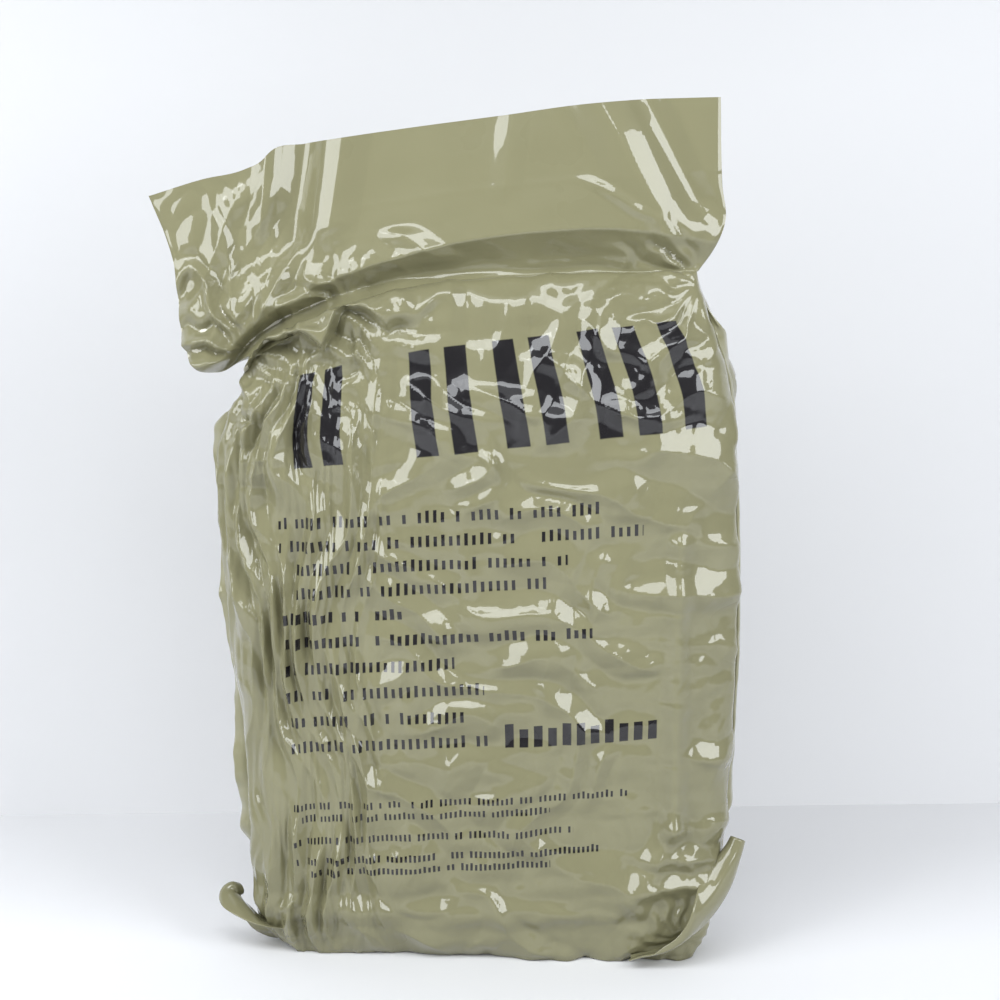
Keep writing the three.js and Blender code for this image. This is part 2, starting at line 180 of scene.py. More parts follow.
class PrintSettings(bpy.types.PropertyGroup):
    """The generic marking printed on the front film."""

    ink: bpy.props.FloatVectorProperty(
        name="Ink", description="Colour of the ink", subtype="COLOR", default=(0.012, 0.011, 0.012))
    bar_height: bpy.props.FloatProperty(
        name="Bar Height", description="Height of the heavy slanted bars",
        default=0.072, unit="LENGTH")
    bar_width: bpy.props.FloatProperty(
        name="Bar Width", description="Width of one heavy bar", default=0.0155, unit="LENGTH")


class FinishSettings(bpy.types.PropertyGroup):
    """Colours of the film and the coat."""

    film: bpy.props.FloatVectorProperty(
        name="Film", description="Outer face of the film", subtype="COLOR",
        default=(0.187, 0.178, 0.101))
    film_inside: bpy.props.FloatVectorProperty(
        name="Film Inside", description="Inner face of the film", subtype="COLOR",
        default=(0.52, 0.50, 0.41))
    shell_cloth: bpy.props.FloatVectorProperty(
        name="Shell Cloth", description="The coat's outer cloth", subtype="COLOR",
        default=(0.160, 0.145, 0.075))
    liner_cloth: bpy.props.FloatVectorProperty(
        name="Liner Cloth", description="The coat's sorbent liner", subtype="COLOR",
        default=(0.025, 0.026, 0.024))
    webbing: bpy.props.FloatVectorProperty(
        name="Webbing", description="Tapes, strips and cords", subtype="COLOR",
        default=(0.105, 0.098, 0.050))
    hardware: bpy.props.FloatVectorProperty(
        name="Hardware", description="Moulded cord locks", subtype="COLOR",
        default=(0.017, 0.018, 0.014))
    metal: bpy.props.FloatVectorProperty(
        name="Metal", description="Blackened slider, pull and snap", subtype="COLOR",
        default=(0.069, 0.069, 0.054))
    label: bpy.props.FloatVectorProperty(
        name="Label", description="Blank size label", subtype="COLOR",
        default=(0.686, 0.665, 0.565))


class StageSettings(bpy.types.PropertyGroup):
    """Camera and studio."""

    camera_place: bpy.props.FloatVectorProperty(
        name="Camera Place", description="Where the camera stands", subtype="TRANSLATION",
        default=(0.126, -1.60, 0.638))
    camera_target: bpy.props.FloatVectorProperty(
        name="Camera Target", description="What it looks at", subtype="TRANSLATION",
        default=(0.013, 0.0, 0.324))
    lens: bpy.props.FloatProperty(
        name="Lens", description="Focal length in millimetres on a 36 mm sensor", default=85.1)
    wall_distance: bpy.props.FloatProperty(
        name="Wall Distance", description="From the pack to the wall behind it",
        default=0.30, unit="LENGTH")


def settings():
    """The scene's own copy of every setting."""
    return bpy.context.scene.packed_coat


class PackedCoatSettings(bpy.types.PropertyGroup):
    """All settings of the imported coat."""

    pack: bpy.props.PointerProperty(type=PackSettings)
    film: bpy.props.PointerProperty(type=FilmSettings)
    marking: bpy.props.PointerProperty(type=PrintSettings)
    finish: bpy.props.PointerProperty(type=FinishSettings)
    stage: bpy.props.PointerProperty(type=StageSettings)


# ---------------------------------------------------------------------------------------------
# The film's form: rows run up a panel from the foot weld, columns from the left weld to the right

NECK_HEIGHT = 0.4495  # of the neck on the centre line
NECK_SLOPE = 0.207  # rise of the neck from left to right
LIPS_HEIGHT = 0.5708  # of the header's lips on the centre line
LIPS_SLOPE = 0.1714
FACE_WIDTH = 0.392  # of a panel along its middle row
CLEARANCE = 0.0012  # from the coat to the film before it is pressed
FOOT_EDGE = 0.0006  # half the panels' distance at the foot weld
HEADER_DEPTHS = (0.0024, 0.0008)  # half the leaves' distance, at the neck and above it
GROUND_GAP = 0.0004  # from the ground to the film before it is pressed
UNDER_SHARE = 0.03  # share of a panel's section that lies under the pack
BODY_SHARE = 0.72  # share of it that is the body
HEADER_START = 0.75  # where the header starts in it
BODY_TOP = 0.90  # share of the body's height where the header piece takes over
# The header's left and right edges, at shares of its height.
HEADER_LEFT = ((0, -0.156), (0.09, -0.180), (0.22, -0.199), (0.36, -0.204), (0.6, -0.208),
               (1, -0.226))
HEADER_RIGHT = ((0, 0.146), (0.10, 0.155), (0.25, 0.163), (0.5, 0.161), (1, 0.159))
# Rise of the body's rows from left to right, at shares of its height.
ROW_SLOPE = ((0, 0.0), (0.15, 0.06), (0.35, 0.07), (0.6, 0.06), (0.74, 0.075), (0.9, 0.165),
             (1, 0.207))
# How far the neck's valley and the lips stand above a straight line, at places across the pack.
NECK_ARCH = ((-0.21, -0.008), (-0.180, -0.011), (-0.160, 0.006), (-0.10, 0.027), (-0.05, 0.031),
             (0.065, 0.018), (0.15, 0.003), (0.20, 0.0))
LIPS_ARCH = ((-0.226, 0.0), (-0.190, 0.005), (-0.160, 0.007), (-0.148, 0.011), (-0.142, 0.016),
             (-0.12, 0.017), (-0.056, 0.016), (0.011, 0.0135), (0.079, 0.011), (0.145, 0.003),
             (0.165, 0.0))
# How far the film splays out to the side welds, at heights.
LEFT_SPLAY = ((0.0, 0.0), (0.05, 0.0), (0.17, 0.001), (0.24, 0.006), (0.38, 0.007), (0.43, 0.0),
              (0.6, 0.0))
RIGHT_SPLAY = ((0.0, 0.0), (0.06, 0.004), (0.15, 0.010), (0.35, 0.010), (0.42, 0.004), (0.45, 0.0),
               (0.6, 0.0))
# How far the neck's lip stands forward of the body under it, at places across the pack.
NECK_LIP = ((-0.21, 0.003), (-0.175, 0.010), (-0.150, 0.022), (-0.115, 0.027), (-0.075, 0.017),
            (-0.04, 0.006), (0.0, 0.0015), (0.20, 0.0005))
LIP_START = 0.957  # share of the body's height where it starts, before its edge is made ragged

# The header's brow: share of its height where it stands furthest forward, and how far it stands.
HEADER_BROW = ((-0.23, 0.12), (-0.16, 0.14), (-0.10, 0.19), (-0.05, 0.22), (-0.02, 0.25), (0.12, 0.24),
               (0.165, 0.14))
HEADER_REACH = ((-0.23, 0.010), (-0.17, 0.015), (-0.10, 0.019), (0.0, 0.021), (0.10, 0.018), (0.14, 0.009),
                (0.17, 0.003))

# Folds of the header: from (x, share up) to (x, share up), half width, height forwards, sharpness.
HEADER_FOLDS = (
    (-0.120, 1.00, -0.131, 0.25, 0.014, -0.0075, 0.3),
    (-0.092, 1.00, -0.104, 0.35, 0.020, 0.0060, 0.5),
    (-0.145, 1.00, -0.150, 0.55, 0.010, 0.0045, 0.8),
    (0.022, 1.00, 0.016, 0.45, 0.012, 0.0022, 0.6),
    (0.080, 1.00, 0.143, 0.05, 0.024, 0.0070, 0.5),
    (0.112, 1.00, 0.158, 0.20, 0.014, -0.0050, 0.4),
    (0.070, 0.60, 0.120, 0.30, 0.010, 0.0020, 0.8),
    (-0.060, 0.45, -0.020, 0.10, 0.016, 0.0040, 0.7),
    (-0.185, 0.05, -0.175, 0.50, 0.030, 0.0110, 0.4),
    (-0.200, 0.35, -0.160, 0.95, 0.014, 0.0050, 0.8),
    (-0.155, 0.10, -0.120, 0.50, 0.012, 0.0060, 0.9),
)

# Ridges of the folded coat under the film: from (x, z) to (x, z), half width, height.
BODY_FOLDS = (
    (0.137, 0.300, 0.134, 0.100, 0.006, 0.0065),
    (0.134, 0.100, 0.110, 0.048, 0.008, 0.0065),
    (-0.128, 0.400, -0.140, 0.060, 0.012, 0.0030),
    (-0.150, 0.036, 0.112, 0.038, 0.007, 0.0040),
    (-0.030, 0.400, 0.060, 0.385, 0.016, 0.0016),
    (0.020, 0.300, 0.120, 0.270, 0.010, 0.0020),
    (-0.020, 0.245, 0.130, 0.252, 0.008, 0.0026),
    (0.010, 0.190, 0.110, 0.150, 0.010, 0.0018),
    (-0.040, 0.150, 0.090, 0.120, 0.012, 0.0012),
    (-0.050, 0.090, 0.105, 0.075, 0.012, 0.0015),
)

# The film's spare length, as folds before it is pressed: their spacing and height.
PLEAT_GAP = 0.0145  # upright pleats at the left
LEANING_GAP = 0.024  # leaning folds among them
PLEAT_HEIGHT = 0.0072
STREAK_GAP = 0.038  # nearly level folds elsewhere
STREAK_HEIGHT = 0.0054
CROSS_GAP = 0.046  # folds across those
CROSS_HEIGHT = 0.0044
CRUMPLE_SIZE = 0.036  # folds in every direction
CRUMPLE_HEIGHT = 0.0044
# Fine creases in the pressed film.
UPRIGHT_CREASE = 0.0012
LEVEL_CREASE = 0.0008
# Lumps of the coat under the film.
LUMP_HEIGHT = 0.0018
BULGE_HEIGHT = 0.0024
LUMP_SEEDS = {1: 11, -1: 71}  # front, back
# The back panel follows the front.
BACK_COARSENESS = 2  # its squares are this many of the front's
LEAF_GAPS = (0.0046, 0.0011)  # between the header's leaves, at the neck and above it

# Knots that the film is drawn into: x, z, number of folds round it, reach, fold height.
KNOTS = (
    (-0.158, 0.428, 10, 0.125, 0.0140),
    (-0.085, 0.452, 9, 0.080, 0.0100),
    (0.148, 0.474, 13, 0.085, 0.0075),
    (-0.146, 0.012, 15, 0.075, 0.0060),
    (0.144, 0.020, 14, 0.095, 0.0060),
)
NECK_KNOTS = 3  # the first of them, which draw the header in too
WELD_LEVEL = 0.585  # share of the header's height where the closing weld's middle shows
CLOSING_WELD = (0.560, 0.612)  # shares where it starts and ends


class PanelForm:
    """Where a panel's rows and columns lie before the vacuum presses it."""

    def __init__(self, side, columns, rows):
        self.side = side
        stations = self.meridian(np.linspace(0.0, 1.0, 2400))
        run = np.hypot(np.diff(stations["z"]), np.diff(stations["depth"]))
        length = np.concatenate([[0.0], np.cumsum(run)])
        even = np.linspace(0.0, length[-1], rows)
        place = np.interp(even, length, np.linspace(0.0, 1.0, 2400))
        self.rows = self.meridian(place)
        across = np.linspace(0.0, 1.0, 2000)
        close = 1.0 + 1.1 * ease((0.38 - across) / 0.10) * ease((across - 0.01) / 0.06)
        filled = np.cumsum(close)
        filled = (filled - filled[0]) / (filled[-1] - filled[0])
        self.share = np.interp(np.linspace(0.0, 1.0, columns), filled, across)
        self.header_rows = int(np.argmax(self.rows["header"] > 0.0))
        self.split = int(np.argmax(self.rows["h"] > BODY_TOP))

    @staticmethod
    def meridian(t):
        """The panel's section at places t, from 0 at the foot weld to 1 at the lips."""
        pack = settings().pack
        under = np.clip(t / UNDER_SHARE, 0.0, 1.0)
        h = np.clip((t - UNDER_SHARE) / BODY_SHARE, 0.0, 1.0)
        u = np.clip((t - HEADER_START) / (1.0 - HEADER_START), 0.0, 1.0)
        side = mix(pack.low_half_width, pack.half_width, ease(h / 0.5))
        body = mix(pack.foot_half_width, side, quarter_round(1.0 - h / 0.1))
        width = mix(body, pack.neck_half_width, ease((h - 0.84) / 0.16))
        centre = pack.foot_shift + pack.lean * h
        left = through(u, HEADER_LEFT)
        right = through(u, HEADER_RIGHT)
        foot = mix(pack.foot_half_depth, pack.half_depth, quarter_round(1.0 - h / 0.09))
        crown = 0.92 + 0.08 * np.sin(np.pi * h)
        depth = mix(pack.neck_half_depth, foot * crown, quarter_round((h - 0.83) / 0.17))
        depth = np.where(under < 1.0, mix(FOOT_EDGE, depth, under), depth)
        above_weld = FOOT_BOX[1][2] + 0.0005
        underside_z = mix(above_weld, GROUND_GAP, ease((under - 0.42) / 0.14))
        z = np.where(under < 1.0, underside_z, np.maximum(NECK_HEIGHT * h, GROUND_GAP))
        return {
            "h": h,
            "under": under,
            "header": u,
            "centre": np.where(u > 0.0, (left + right) / 2, centre),
            "width": np.where(u > 0.0, (right - left) / 2, width),
            "depth": np.where(u > 0.0, mix(*HEADER_DEPTHS, ease(u / 0.12)), depth),
            "z": np.where(u > 0.0, mix(NECK_HEIGHT, LIPS_HEIGHT, u), z),
            "slope": np.where(u > 0.0, mix(NECK_SLOPE, LIPS_SLOPE, ease(u)), through(h, ROW_SLOPE)),
        }

    def points(self):
        """The rows by columns grid of points, just clear of the coat."""
        pack = settings().pack
        rows = self.rows
        angle = np.linspace(0.0, np.pi, 361)
        power = 2.0 / pack.roundness
        across = -np.sign(np.cos(angle)) * np.abs(np.cos(angle)) ** power
        out = np.abs(np.sin(angle)) ** power
        grid = np.zeros((len(rows["h"]), len(self.share), 3))
        for i in range(len(rows["h"])):
            x = (rows["width"][i] + CLEARANCE) * across
            y = (rows["depth"][i] + CLEARANCE) * out
            run = np.concatenate([[0.0], np.cumsum(np.hypot(np.diff(x), np.diff(y)))])
            place = self.share * run[-1]
            grid[i, :, 0] = rows["centre"][i] + np.interp(place, run, x)
            grid[i, :, 1] = -self.side * np.interp(place, run, y)
        x = grid[..., 0]
        z = rows["z"][:, None]
        splay = np.where(x < 0.0, -through(z, LEFT_SPLAY), through(z, RIGHT_SPLAY))
        beside = ease(1.0 - np.abs(grid[..., 1]) / 0.024) * (np.abs(x - rows["centre"][:, None]) > 0.12)
        grid[..., 0] += splay * beside * (rows["header"] <= 0.0)[:, None]
        near_neck = ease((rows["h"] - BODY_TOP) / (1.0 - BODY_TOP)) * (1.0 - ease(rows["header"]))
        grid[..., 2] = rows["z"][:, None] + rows["slope"][:, None] * x
        grid[..., 2] += near_neck[:, None] * through(x, NECK_ARCH)
        grid[..., 2] += ease(rows["header"] / 0.9)[:, None] ** 2 * through(x, LIPS_ARCH)
        grid[..., 2] = np.maximum(grid[..., 2], GROUND_GAP)
        grid[..., 1] -= self.header_relief(x)
        return grid

    def neck_lip(self, x):
        """How far the gathered neck is pushed forward over the body."""
        header = self.rows["header"][:, None]
        wander = soft_noise(x / 0.03, 0.0 * x, 95, 2)
        ragged = LIP_START + 0.024 * facets(x / 0.055 + 0.4 + 0.3 * wander) + 0.005 * wander
        below = ease((self.rows["h"][:, None] - ragged) / 0.013) * (header <= 0.0)
        above = ease(1.0 - header / 0.08) * (header > 0.0)
        return (below + above) * through(x, NECK_LIP)

    def header_relief(self, x):
        """How far the header's middle surface stands forward of the plane of the welds."""
        u = self.rows["header"][:, None]
        brow = through(x, HEADER_BROW)
        reach = through(x, HEADER_REACH)
        below = np.clip(u / brow, 0.0, 1.0) ** 1.5
        above = 1.0 - 0.85 * np.clip((u - brow) / (1.0 - brow), 0.0, 1.0)
        relief = reach * np.where(u < brow, below, above)
        for x0, u0, x1, u1, width, height, sharp in HEADER_FOLDS:
            along = (u - u0) / (u1 - u0)
            held = ease((1.0 - along) / 0.3)
            if u0 < 0.97:
                held = ease(along / 0.25) * ease((1.0 - along) / 0.25)
            off = (x - mix(x0, x1, np.clip(along, 0.0, 1.0))) / width
            shape = mix(bump(off / 1.4), np.maximum(1.0 - np.abs(off), 0.0), sharp)
            relief = relief + height * held * shape * (along > -0.05)
        up = u * 0.12
        loose_end = ease((-0.118 - x) / 0.02) * ease((x + 0.212) / 0.02) * bump((u - 0.48) / 0.52)
        gathered = mix(0.15, 1.0, ease((-0.02 - x) / 0.08)) * bump((u - 0.12) / 0.30)
        relief = relief + 0.0120 * loose_end * (crumple(x, up, 0.034, 61) - 0.5)
        relief = relief + 0.0130 * gathered * (crumple(x, up, 0.028, 67) - 0.5)
        above_neck = NECK_HEIGHT + NECK_SLOPE * x + through(x, NECK_ARCH) + 0.121 * u
        relief = relief + knot_folds(x, above_neck, KNOTS[:NECK_KNOTS], 91) - 0.003
        relief = relief + 0.0012 * (crumple(x, up, 0.040, 71) - 0.5)
        relief = relief + 0.0009 * soft_noise(x / 0.07, u * 1.4, 31)
        relief = relief + 0.00018 * np.maximum(1.0 - np.abs(u - WELD_LEVEL) / 0.03, 0.0)
        return relief * ease(u / 0.05)


def knot_folds(x, z, knots, seed):
    """Height of the uneven folds that run into the knots."""
    height = np.zeros(x.shape)
    for number, (knot_x, knot_z, count, reach, fold) in enumerate(knots):
        distance = np.hypot(x - knot_x, z - knot_z)
        turn = np.arctan2(z - knot_z, x - knot_x) / (2.0 * math.pi)
        wander = soft_noise(x / 0.022, z / 0.022, seed + number, 2)
        phase = turn * count + 0.55 * wander
        uneven = ease(0.5 + 0.9 * soft_noise(4.0 * turn * count / 10.0, distance / 0.04, seed + 7, 1))
        near = bump(distance / reach) * ease(distance / 0.026)
        height = height + fold * near * (0.25 + 0.75 * uneven) * facets(phase)
    return height


def facets(phase):
    """Sharp creases between flat faces, 0 to 1, one crease per unit of phase."""
    return np.abs(2.0 * (phase % 1.0) - 1.0)


def crumple(u, v, size, seed):
    """A crumpled sheet from 0 to 1: creases in every direction, about one size apart."""
    dice = np.random.default_rng(seed)
    total = np.zeros(np.broadcast(u, v).shape)
    for layer in range(5):
        turn = dice.uniform(0.0, math.pi)
        wave = size * dice.uniform(0.8, 1.7)
        phase = (u * math.cos(turn) + v * math.sin(turn)) / wave + dice.uniform(0.0, 1.0)
        phase = phase + 0.35 * soft_noise(u / (1.6 * size), v / (1.6 * size), seed + layer, 1)
        strength = 0.5 + 0.5 * soft_noise(u / (2.5 * size), v / (2.5 * size), seed + 11 + layer, 1)
        total = total + facets(phase) * strength
    return total / 3.0


def fold_relief(x, z, folds):
    """Height of the ridges at each point."""
    relief = np.zeros(x.shape)
    for x0, z0, x1, z1, width, height in folds:
        run = np.array([x1 - x0, z1 - z0])
        share = ((x - x0) * run[0] + (z - z0) * run[1]) / (run @ run)
        held = np.clip(share, 0.0, 1.0)
        distance = np.hypot(x - x0 - held * run[0], z - z0 - held * run[1])
        relief += height * bump(distance / (2.0 * width))
    return relief


def coat_relief(points, seed):
    """Lumps that the folded coat pushes into the film: upright at the left, level elsewhere."""
    x = points[..., 0]
    z = points[..., 2]
    left = ease((-0.055 - x) / 0.04)
    upright = soft_noise(x / 0.014, z / 0.07, seed)
    level = soft_noise((x + 0.4 * z) / 0.07, (z - 0.12 * x) / 0.020, seed + 5)
    broad = soft_noise(x / 0.11, z / 0.09, seed + 9, 1)
    return LUMP_HEIGHT * left * upright + LUMP_HEIGHT * (1.0 - left) * level + BULGE_HEIGHT * broad


def slack(points, form):
    """Height of the folds that the film's spare length makes before it is pressed."""
    z = points[..., 2]
    side = form.side
    h = form.rows["h"][:, None]
    x = (form.share[None, :] - 0.5) * FACE_WIDTH + form.rows["centre"][:, None]
    across = x * side
    pleated = ease((-0.058 - across) / 0.035) * ease((0.97 - h) / 0.06) * ease(h / 0.06)
    strength = 0.3 + 0.7 * ease(0.5 + 0.8 * soft_noise(x / 0.022, z / 0.060, 21, 1))
    warp = 1.1 * soft_noise(x / 0.040, z / 0.110, 22, 1)
    warp = warp + 0.25 * soft_noise(x / 0.016, z / 0.045, 23, 1)
    pleats = facets(x / PLEAT_GAP + warp) + 0.8 * facets((x + 0.30 * z) / LEANING_GAP + 0.7 * warp)
    height = PLEAT_HEIGHT * pleated * strength * pleats
    loose = 1.0 - 0.85 * pleated
    bend = 0.8 * soft_noise(x / 0.055, z / 0.045, 24, 1)
    streaks = facets((z + 0.42 * x) / STREAK_GAP + bend)
    streaks = streaks * ease(0.5 + 0.9 * soft_noise(x / 0.035, z / 0.022, 25, 1))
    cross = facets((x - 0.35 * z) / CROSS_GAP + bend)
    cross = cross * ease(0.4 + 0.9 * soft_noise(x / 0.030, z / 0.035, 26, 1))
    height = height + loose * (STREAK_HEIGHT * streaks + CROSS_HEIGHT * cross)
    height = height + loose * CRUMPLE_HEIGHT * crumple(x, z, CRUMPLE_SIZE, 27 + side)
    if side > 0:
        height = height + knot_folds(points[..., 0], z, KNOTS, 81)
    return height


def fine_creases(points, side):
    """Height of the sharp little creases left in the pressed film."""
    x = points[..., 0]
    z = points[..., 2]
    left = ease((-0.05 - side * x) / 0.04)
    warp = soft_noise(x / 0.012, z / 0.03, 33, 1)
    upright = facets(x / 0.0070 + 0.7 * warp) * (0.5 + 0.5 * soft_noise(x / 0.012, z / 0.025, 34, 1))
    level = crumple(x + 0.5 * z, 1.5 * z - 0.4 * x, 0.014, 35) - 0.5
    return UPRIGHT_CREASE * left * upright + LEVEL_CREASE * (1.0 - 0.6 * left) * level


def inner_part(form, points):
    """1 on the body's faces, 0 at the welds, on the underside and in the header."""
    body = ((form.rows["header"] <= 0.0) & (form.rows["under"] >= 1.0))[:, None]
    return ease(-form.side * points[..., 1] / 0.012) * ease((1.0 - form.rows["h"]) / 0.05)[:, None] * body


# ---------------------------------------------------------------------------------------------
# Pressing: the film keeps its length, resists folding and is drawn on to the coat

FOLD_REACH = 3  # squares over which the film resists a fold
HEADER_HOME = 0.02  # how strongly the header and the body are held to the form they start from
BODY_HOME = 0.05
LEAST_DEPTH = 0.0003  # nearest that a panel comes to the pack's middle plane
MOST_PUSH = 0.003  # furthest that the coat moves the film in one step


def link_pairs(grid):
    """Pairs of slices joined by the film, with their length in the flat film."""
    across = np.linalg.norm(np.diff(grid, axis=1), axis=-1)
    up = np.linalg.norm(np.diff(grid, axis=0), axis=-1)
    rising = np.linalg.norm(grid[1:, 1:] - grid[:-1, :-1], axis=-1)
    falling = np.linalg.norm(grid[1:, :-1] - grid[:-1, 1:], axis=-1)
    everywhere = slice(None)
    stretch = []
    for start in (0, 1):
        near = slice(start, -1, 2)
        far = slice(start + 1, None, 2)
        stretch.append(((everywhere, near), (everywhere, far), across[:, start::2], 1.0))
        stretch.append(((near, everywhere), (far, everywhere), up[start::2], 1.0))
        stretch.append(((near, slice(None, -1)), (far, slice(1, None)), rising[start::2], 0.5))
        stretch.append(((near, slice(1, None)), (far, slice(None, -1)), falling[start::2], 0.5))
    fold = []
    for axis, links in ((1, across), (0, up)):
        count = grid.shape[axis]
        total = np.cumsum(links, axis=axis)
        total = np.concatenate([np.zeros_like(np.take(total, [0], axis=axis)), total], axis=axis)
        for start in range(2 * FOLD_REACH):
            pairs = (count - start - FOLD_REACH - 1) // (2 * FOLD_REACH) + 1
            near = slice(start, start + 2 * FOLD_REACH * pairs, 2 * FOLD_REACH)
            far = slice(start + FOLD_REACH, start + FOLD_REACH + 2 * FOLD_REACH * pairs, 2 * FOLD_REACH)
            if axis:
                near = (everywhere, near)
                far = (everywhere, far)
            else:
                near = (near, everywhere)
                far = (far, everywhere)
            fold.append((near, far, total[far] - total[near]))
    return (
        [(a, b, length.astype(np.float32), pull) for a, b, length, pull in stretch],
        [(a, b, length.astype(np.float32)) for a, b, length in fold],
    )


def pull_to_length(film, near, far, length, share, only_short=False):
    """Moves each pair of points towards the length of film between them."""
    step = film[far] - film[near]
    distance = np.maximum(np.sqrt(np.einsum("...i,...i", step, step)), 1e-7)
    error = distance - length
    if only_short:
        error = np.minimum(error, 0.0)
    step *= (0.5 * share * error / distance)[..., None]
    film[near] += step
    film[far] -= step


def film_normals(film, side):
    """Outward normals of the sheet."""
    across = np.gradient(film, axis=1)
    up = np.gradient(film, axis=0)
    normal = np.cross(across, up) * side
    return normal / np.maximum(np.linalg.norm(normal, axis=-1, keepdims=True), 1e-9)


def press_film(form, grid, pinned, relief):
    """Draws the film on to the coat under vacuum and returns where it comes to rest."""
    pack = settings().pack
    film_settings = settings().film
    stretch, fold = link_pairs(grid)
    rows = form.rows
    body = (rows["header"] <= 0.0)[:, None]
    width = rows["width"][:, None].astype(np.float32)
    depth = np.maximum(rows["depth"][:, None] + relief, 0.0005).astype(np.float32)
    centre = rows["centre"][:, None].astype(np.float32)
    power = pack.roundness
    vacuum = film_settings.vacuum * ease((0.97 - rows["h"]) / 0.08) * (rows["header"] <= 0.0)
    vacuum = vacuum[:, None, None].astype(np.float32)
    floor = np.where(rows["under"] < 0.5, FOOT_BOX[1][2] + 0.0004, 0.0003)[:, None]
    start = grid.astype(np.float32)
    film = start.copy()
    home = np.where(rows["header"] > 0.0, HEADER_HOME, BODY_HOME)[:, None, None].astype(np.float32)
    for step in range(film_settings.steps):
        if step % 4 == 0:
            normal = film_normals(film, form.side)
        film -= normal * vacuum
        film += (start - film) * home
        for near, far, length, share in stretch:
            pull_to_length(film, near, far, length, share)
        if step % 2:
            for near, far, length in fold:
                pull_to_length(film, near, far, length, film_settings.bend, only_short=True)
        x = (film[..., 0] - centre) / width
        y = film[..., 1] / depth
        inside = np.abs(x) ** power + np.abs(y) ** power - 1.0
        slope_x = power * np.abs(x) ** (power - 1.0) * np.sign(x) / width
        slope_y = power * np.abs(y) ** (power - 1.0) * np.sign(y) / depth
        square = slope_x**2 + slope_y**2 + 1e-9
        push = np.minimum(-inside / square, MOST_PUSH / np.sqrt(square))
        push = np.where(body & (inside < 0.0), push, 0.0)
        film[..., 0] += push * slope_x
        film[..., 1] += push * slope_y
        flat_side = -form.side * np.maximum(-form.side * film[..., 1], LEAST_DEPTH)
        film[..., 1] = np.where(body, flat_side, film[..., 1])
        film[..., 2] = np.maximum(film[..., 2], floor)
        film[pinned] = start[pinned]
    return film.astype(np.float64)


LEAST_HEIGHT = 0.0001  # of the pressed film over the ground
DEPTH_KEPT = 0.0430  # folds up to this far from the pack's middle plane stay as they are
DEPTH_MOST = 0.0473  # no fold stands further out than this


def within_depth(points):
    """Flattens the highest folds softly, so that the pack keeps its thickness."""
    depth = np.abs(points[..., 1])
    room = DEPTH_MOST - DEPTH_KEPT
    held = np.minimum(depth, DEPTH_KEPT) + room * np.tanh(np.maximum(depth - DEPTH_KEPT, 0.0) / room)
    points[..., 1] = np.sign(points[..., 1]) * held
    return points


def seam_wave(x, z):
    """How the side welds wander out of their plane."""
    return 0.0035 * soft_noise(z / 0.05, 3.0 + np.sign(x), 41, 1) * ease(z / 0.06)


# ---------------------------------------------------------------------------------------------
# Meshes


def finish_piece(piece, body, material):
    """Common end of every new piece: shading, material and, on a piece that isn't bent, its body."""
    piece.data.materials.append(material)
    piece.data.shade_smooth()
    if body:
        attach(piece, body)


def sheet_piece(name, points, flat, side, normals=None):
    """A sheet over a grid of points, with the flat sheet as its UV map."""
    rows, columns = points.shape[:2]
    mesh = bpy.data.meshes.new(name)
    bm = bmesh.new()
    uv = bm.loops.layers.uv.new("flat")
    bmesh.ops.create_grid(bm, x_segments=columns - 1, y_segments=rows - 1, size=0.5, calc_uvs=True)
    for vertex in bm.verts:
        column = round((vertex.co.x + 0.5) * (columns - 1))
        row = round((vertex.co.y + 0.5) * (rows - 1))
        for loop in vertex.link_loops:
            loop[uv].uv = flat[row, column]
        vertex.co = points[row, column]
    if side < 0:
        bmesh.ops.reverse_faces(bm, faces=bm.faces)
    bm.to_mesh(mesh)
    bm.free()
    if normals is not None:
        mesh.shade_smooth()
        mesh.normals_split_custom_set_from_vertices(normals.reshape(-1, 3))
    piece = bpy.data.objects.new(name, mesh)
    bpy.context.scene.collection.objects.link(piece)
    return piece


def subdivide(piece):
    """Rounds a coarse grid once."""
    modifier = piece.modifiers.new("smooth", "SUBSURF")
    modifier.levels = 1
    modifier.render_levels = 1
    modifier.uv_smooth = "PRESERVE_BOUNDARIES"


def thicken(piece):
    """Gives doubled film its thickness, half of it to each side."""
    modifier = piece.modifiers.new("thickness", "SOLIDIFY")
    modifier.thickness = DOUBLED_FILM
    modifier.offset = 0.0


# ---------------------------------------------------------------------------------------------
# Shader building


class Nodes:
    """Writes a node tree in short calls."""

    def __init__(self, tree):
        self.tree = tree

    def add(self, kind, values=None, **properties):
        node = self.tree.nodes.new(kind)
        for name, value in properties.items():
            setattr(node, name, value)
        for name, value in (values or {}).items():
            self.feed(node.inputs[name], value)
        return node

    def feed(self, socket, value):
        if isinstance(value, bpy.types.NodeSocket):
            self.tree.links.new(value, socket)
        else:
            socket.default_value = value

    def maths(self, operation, a, b=0.0, c=0.0, clamp=False):
        node = self.add("ShaderNodeMath", operation=operation, use_clamp=clamp)
        for socket, value in zip(node.inputs, (a, b, c)):
            self.feed(socket, value)
        return node.outputs[0]

    def colour_mix(self, share, a, b):
        node = self.add("ShaderNodeMix", data_type="RGBA")
        self.feed(node.inputs["Factor"], share)
        self.feed(node.inputs["A"], a)
        self.feed(node.inputs["B"], b)
        return node.outputs["Result"]

    def remap(self, value, low, high, to_low=0.0, to_high=1.0):
        node = self.add("ShaderNodeMapRange", {"From Min": low, "From Max": high})
        self.feed(node.inputs["Value"], value)
        self.feed(node.inputs["To Min"], to_low)
        self.feed(node.inputs["To Max"], to_high)
        return node.outputs["Result"]


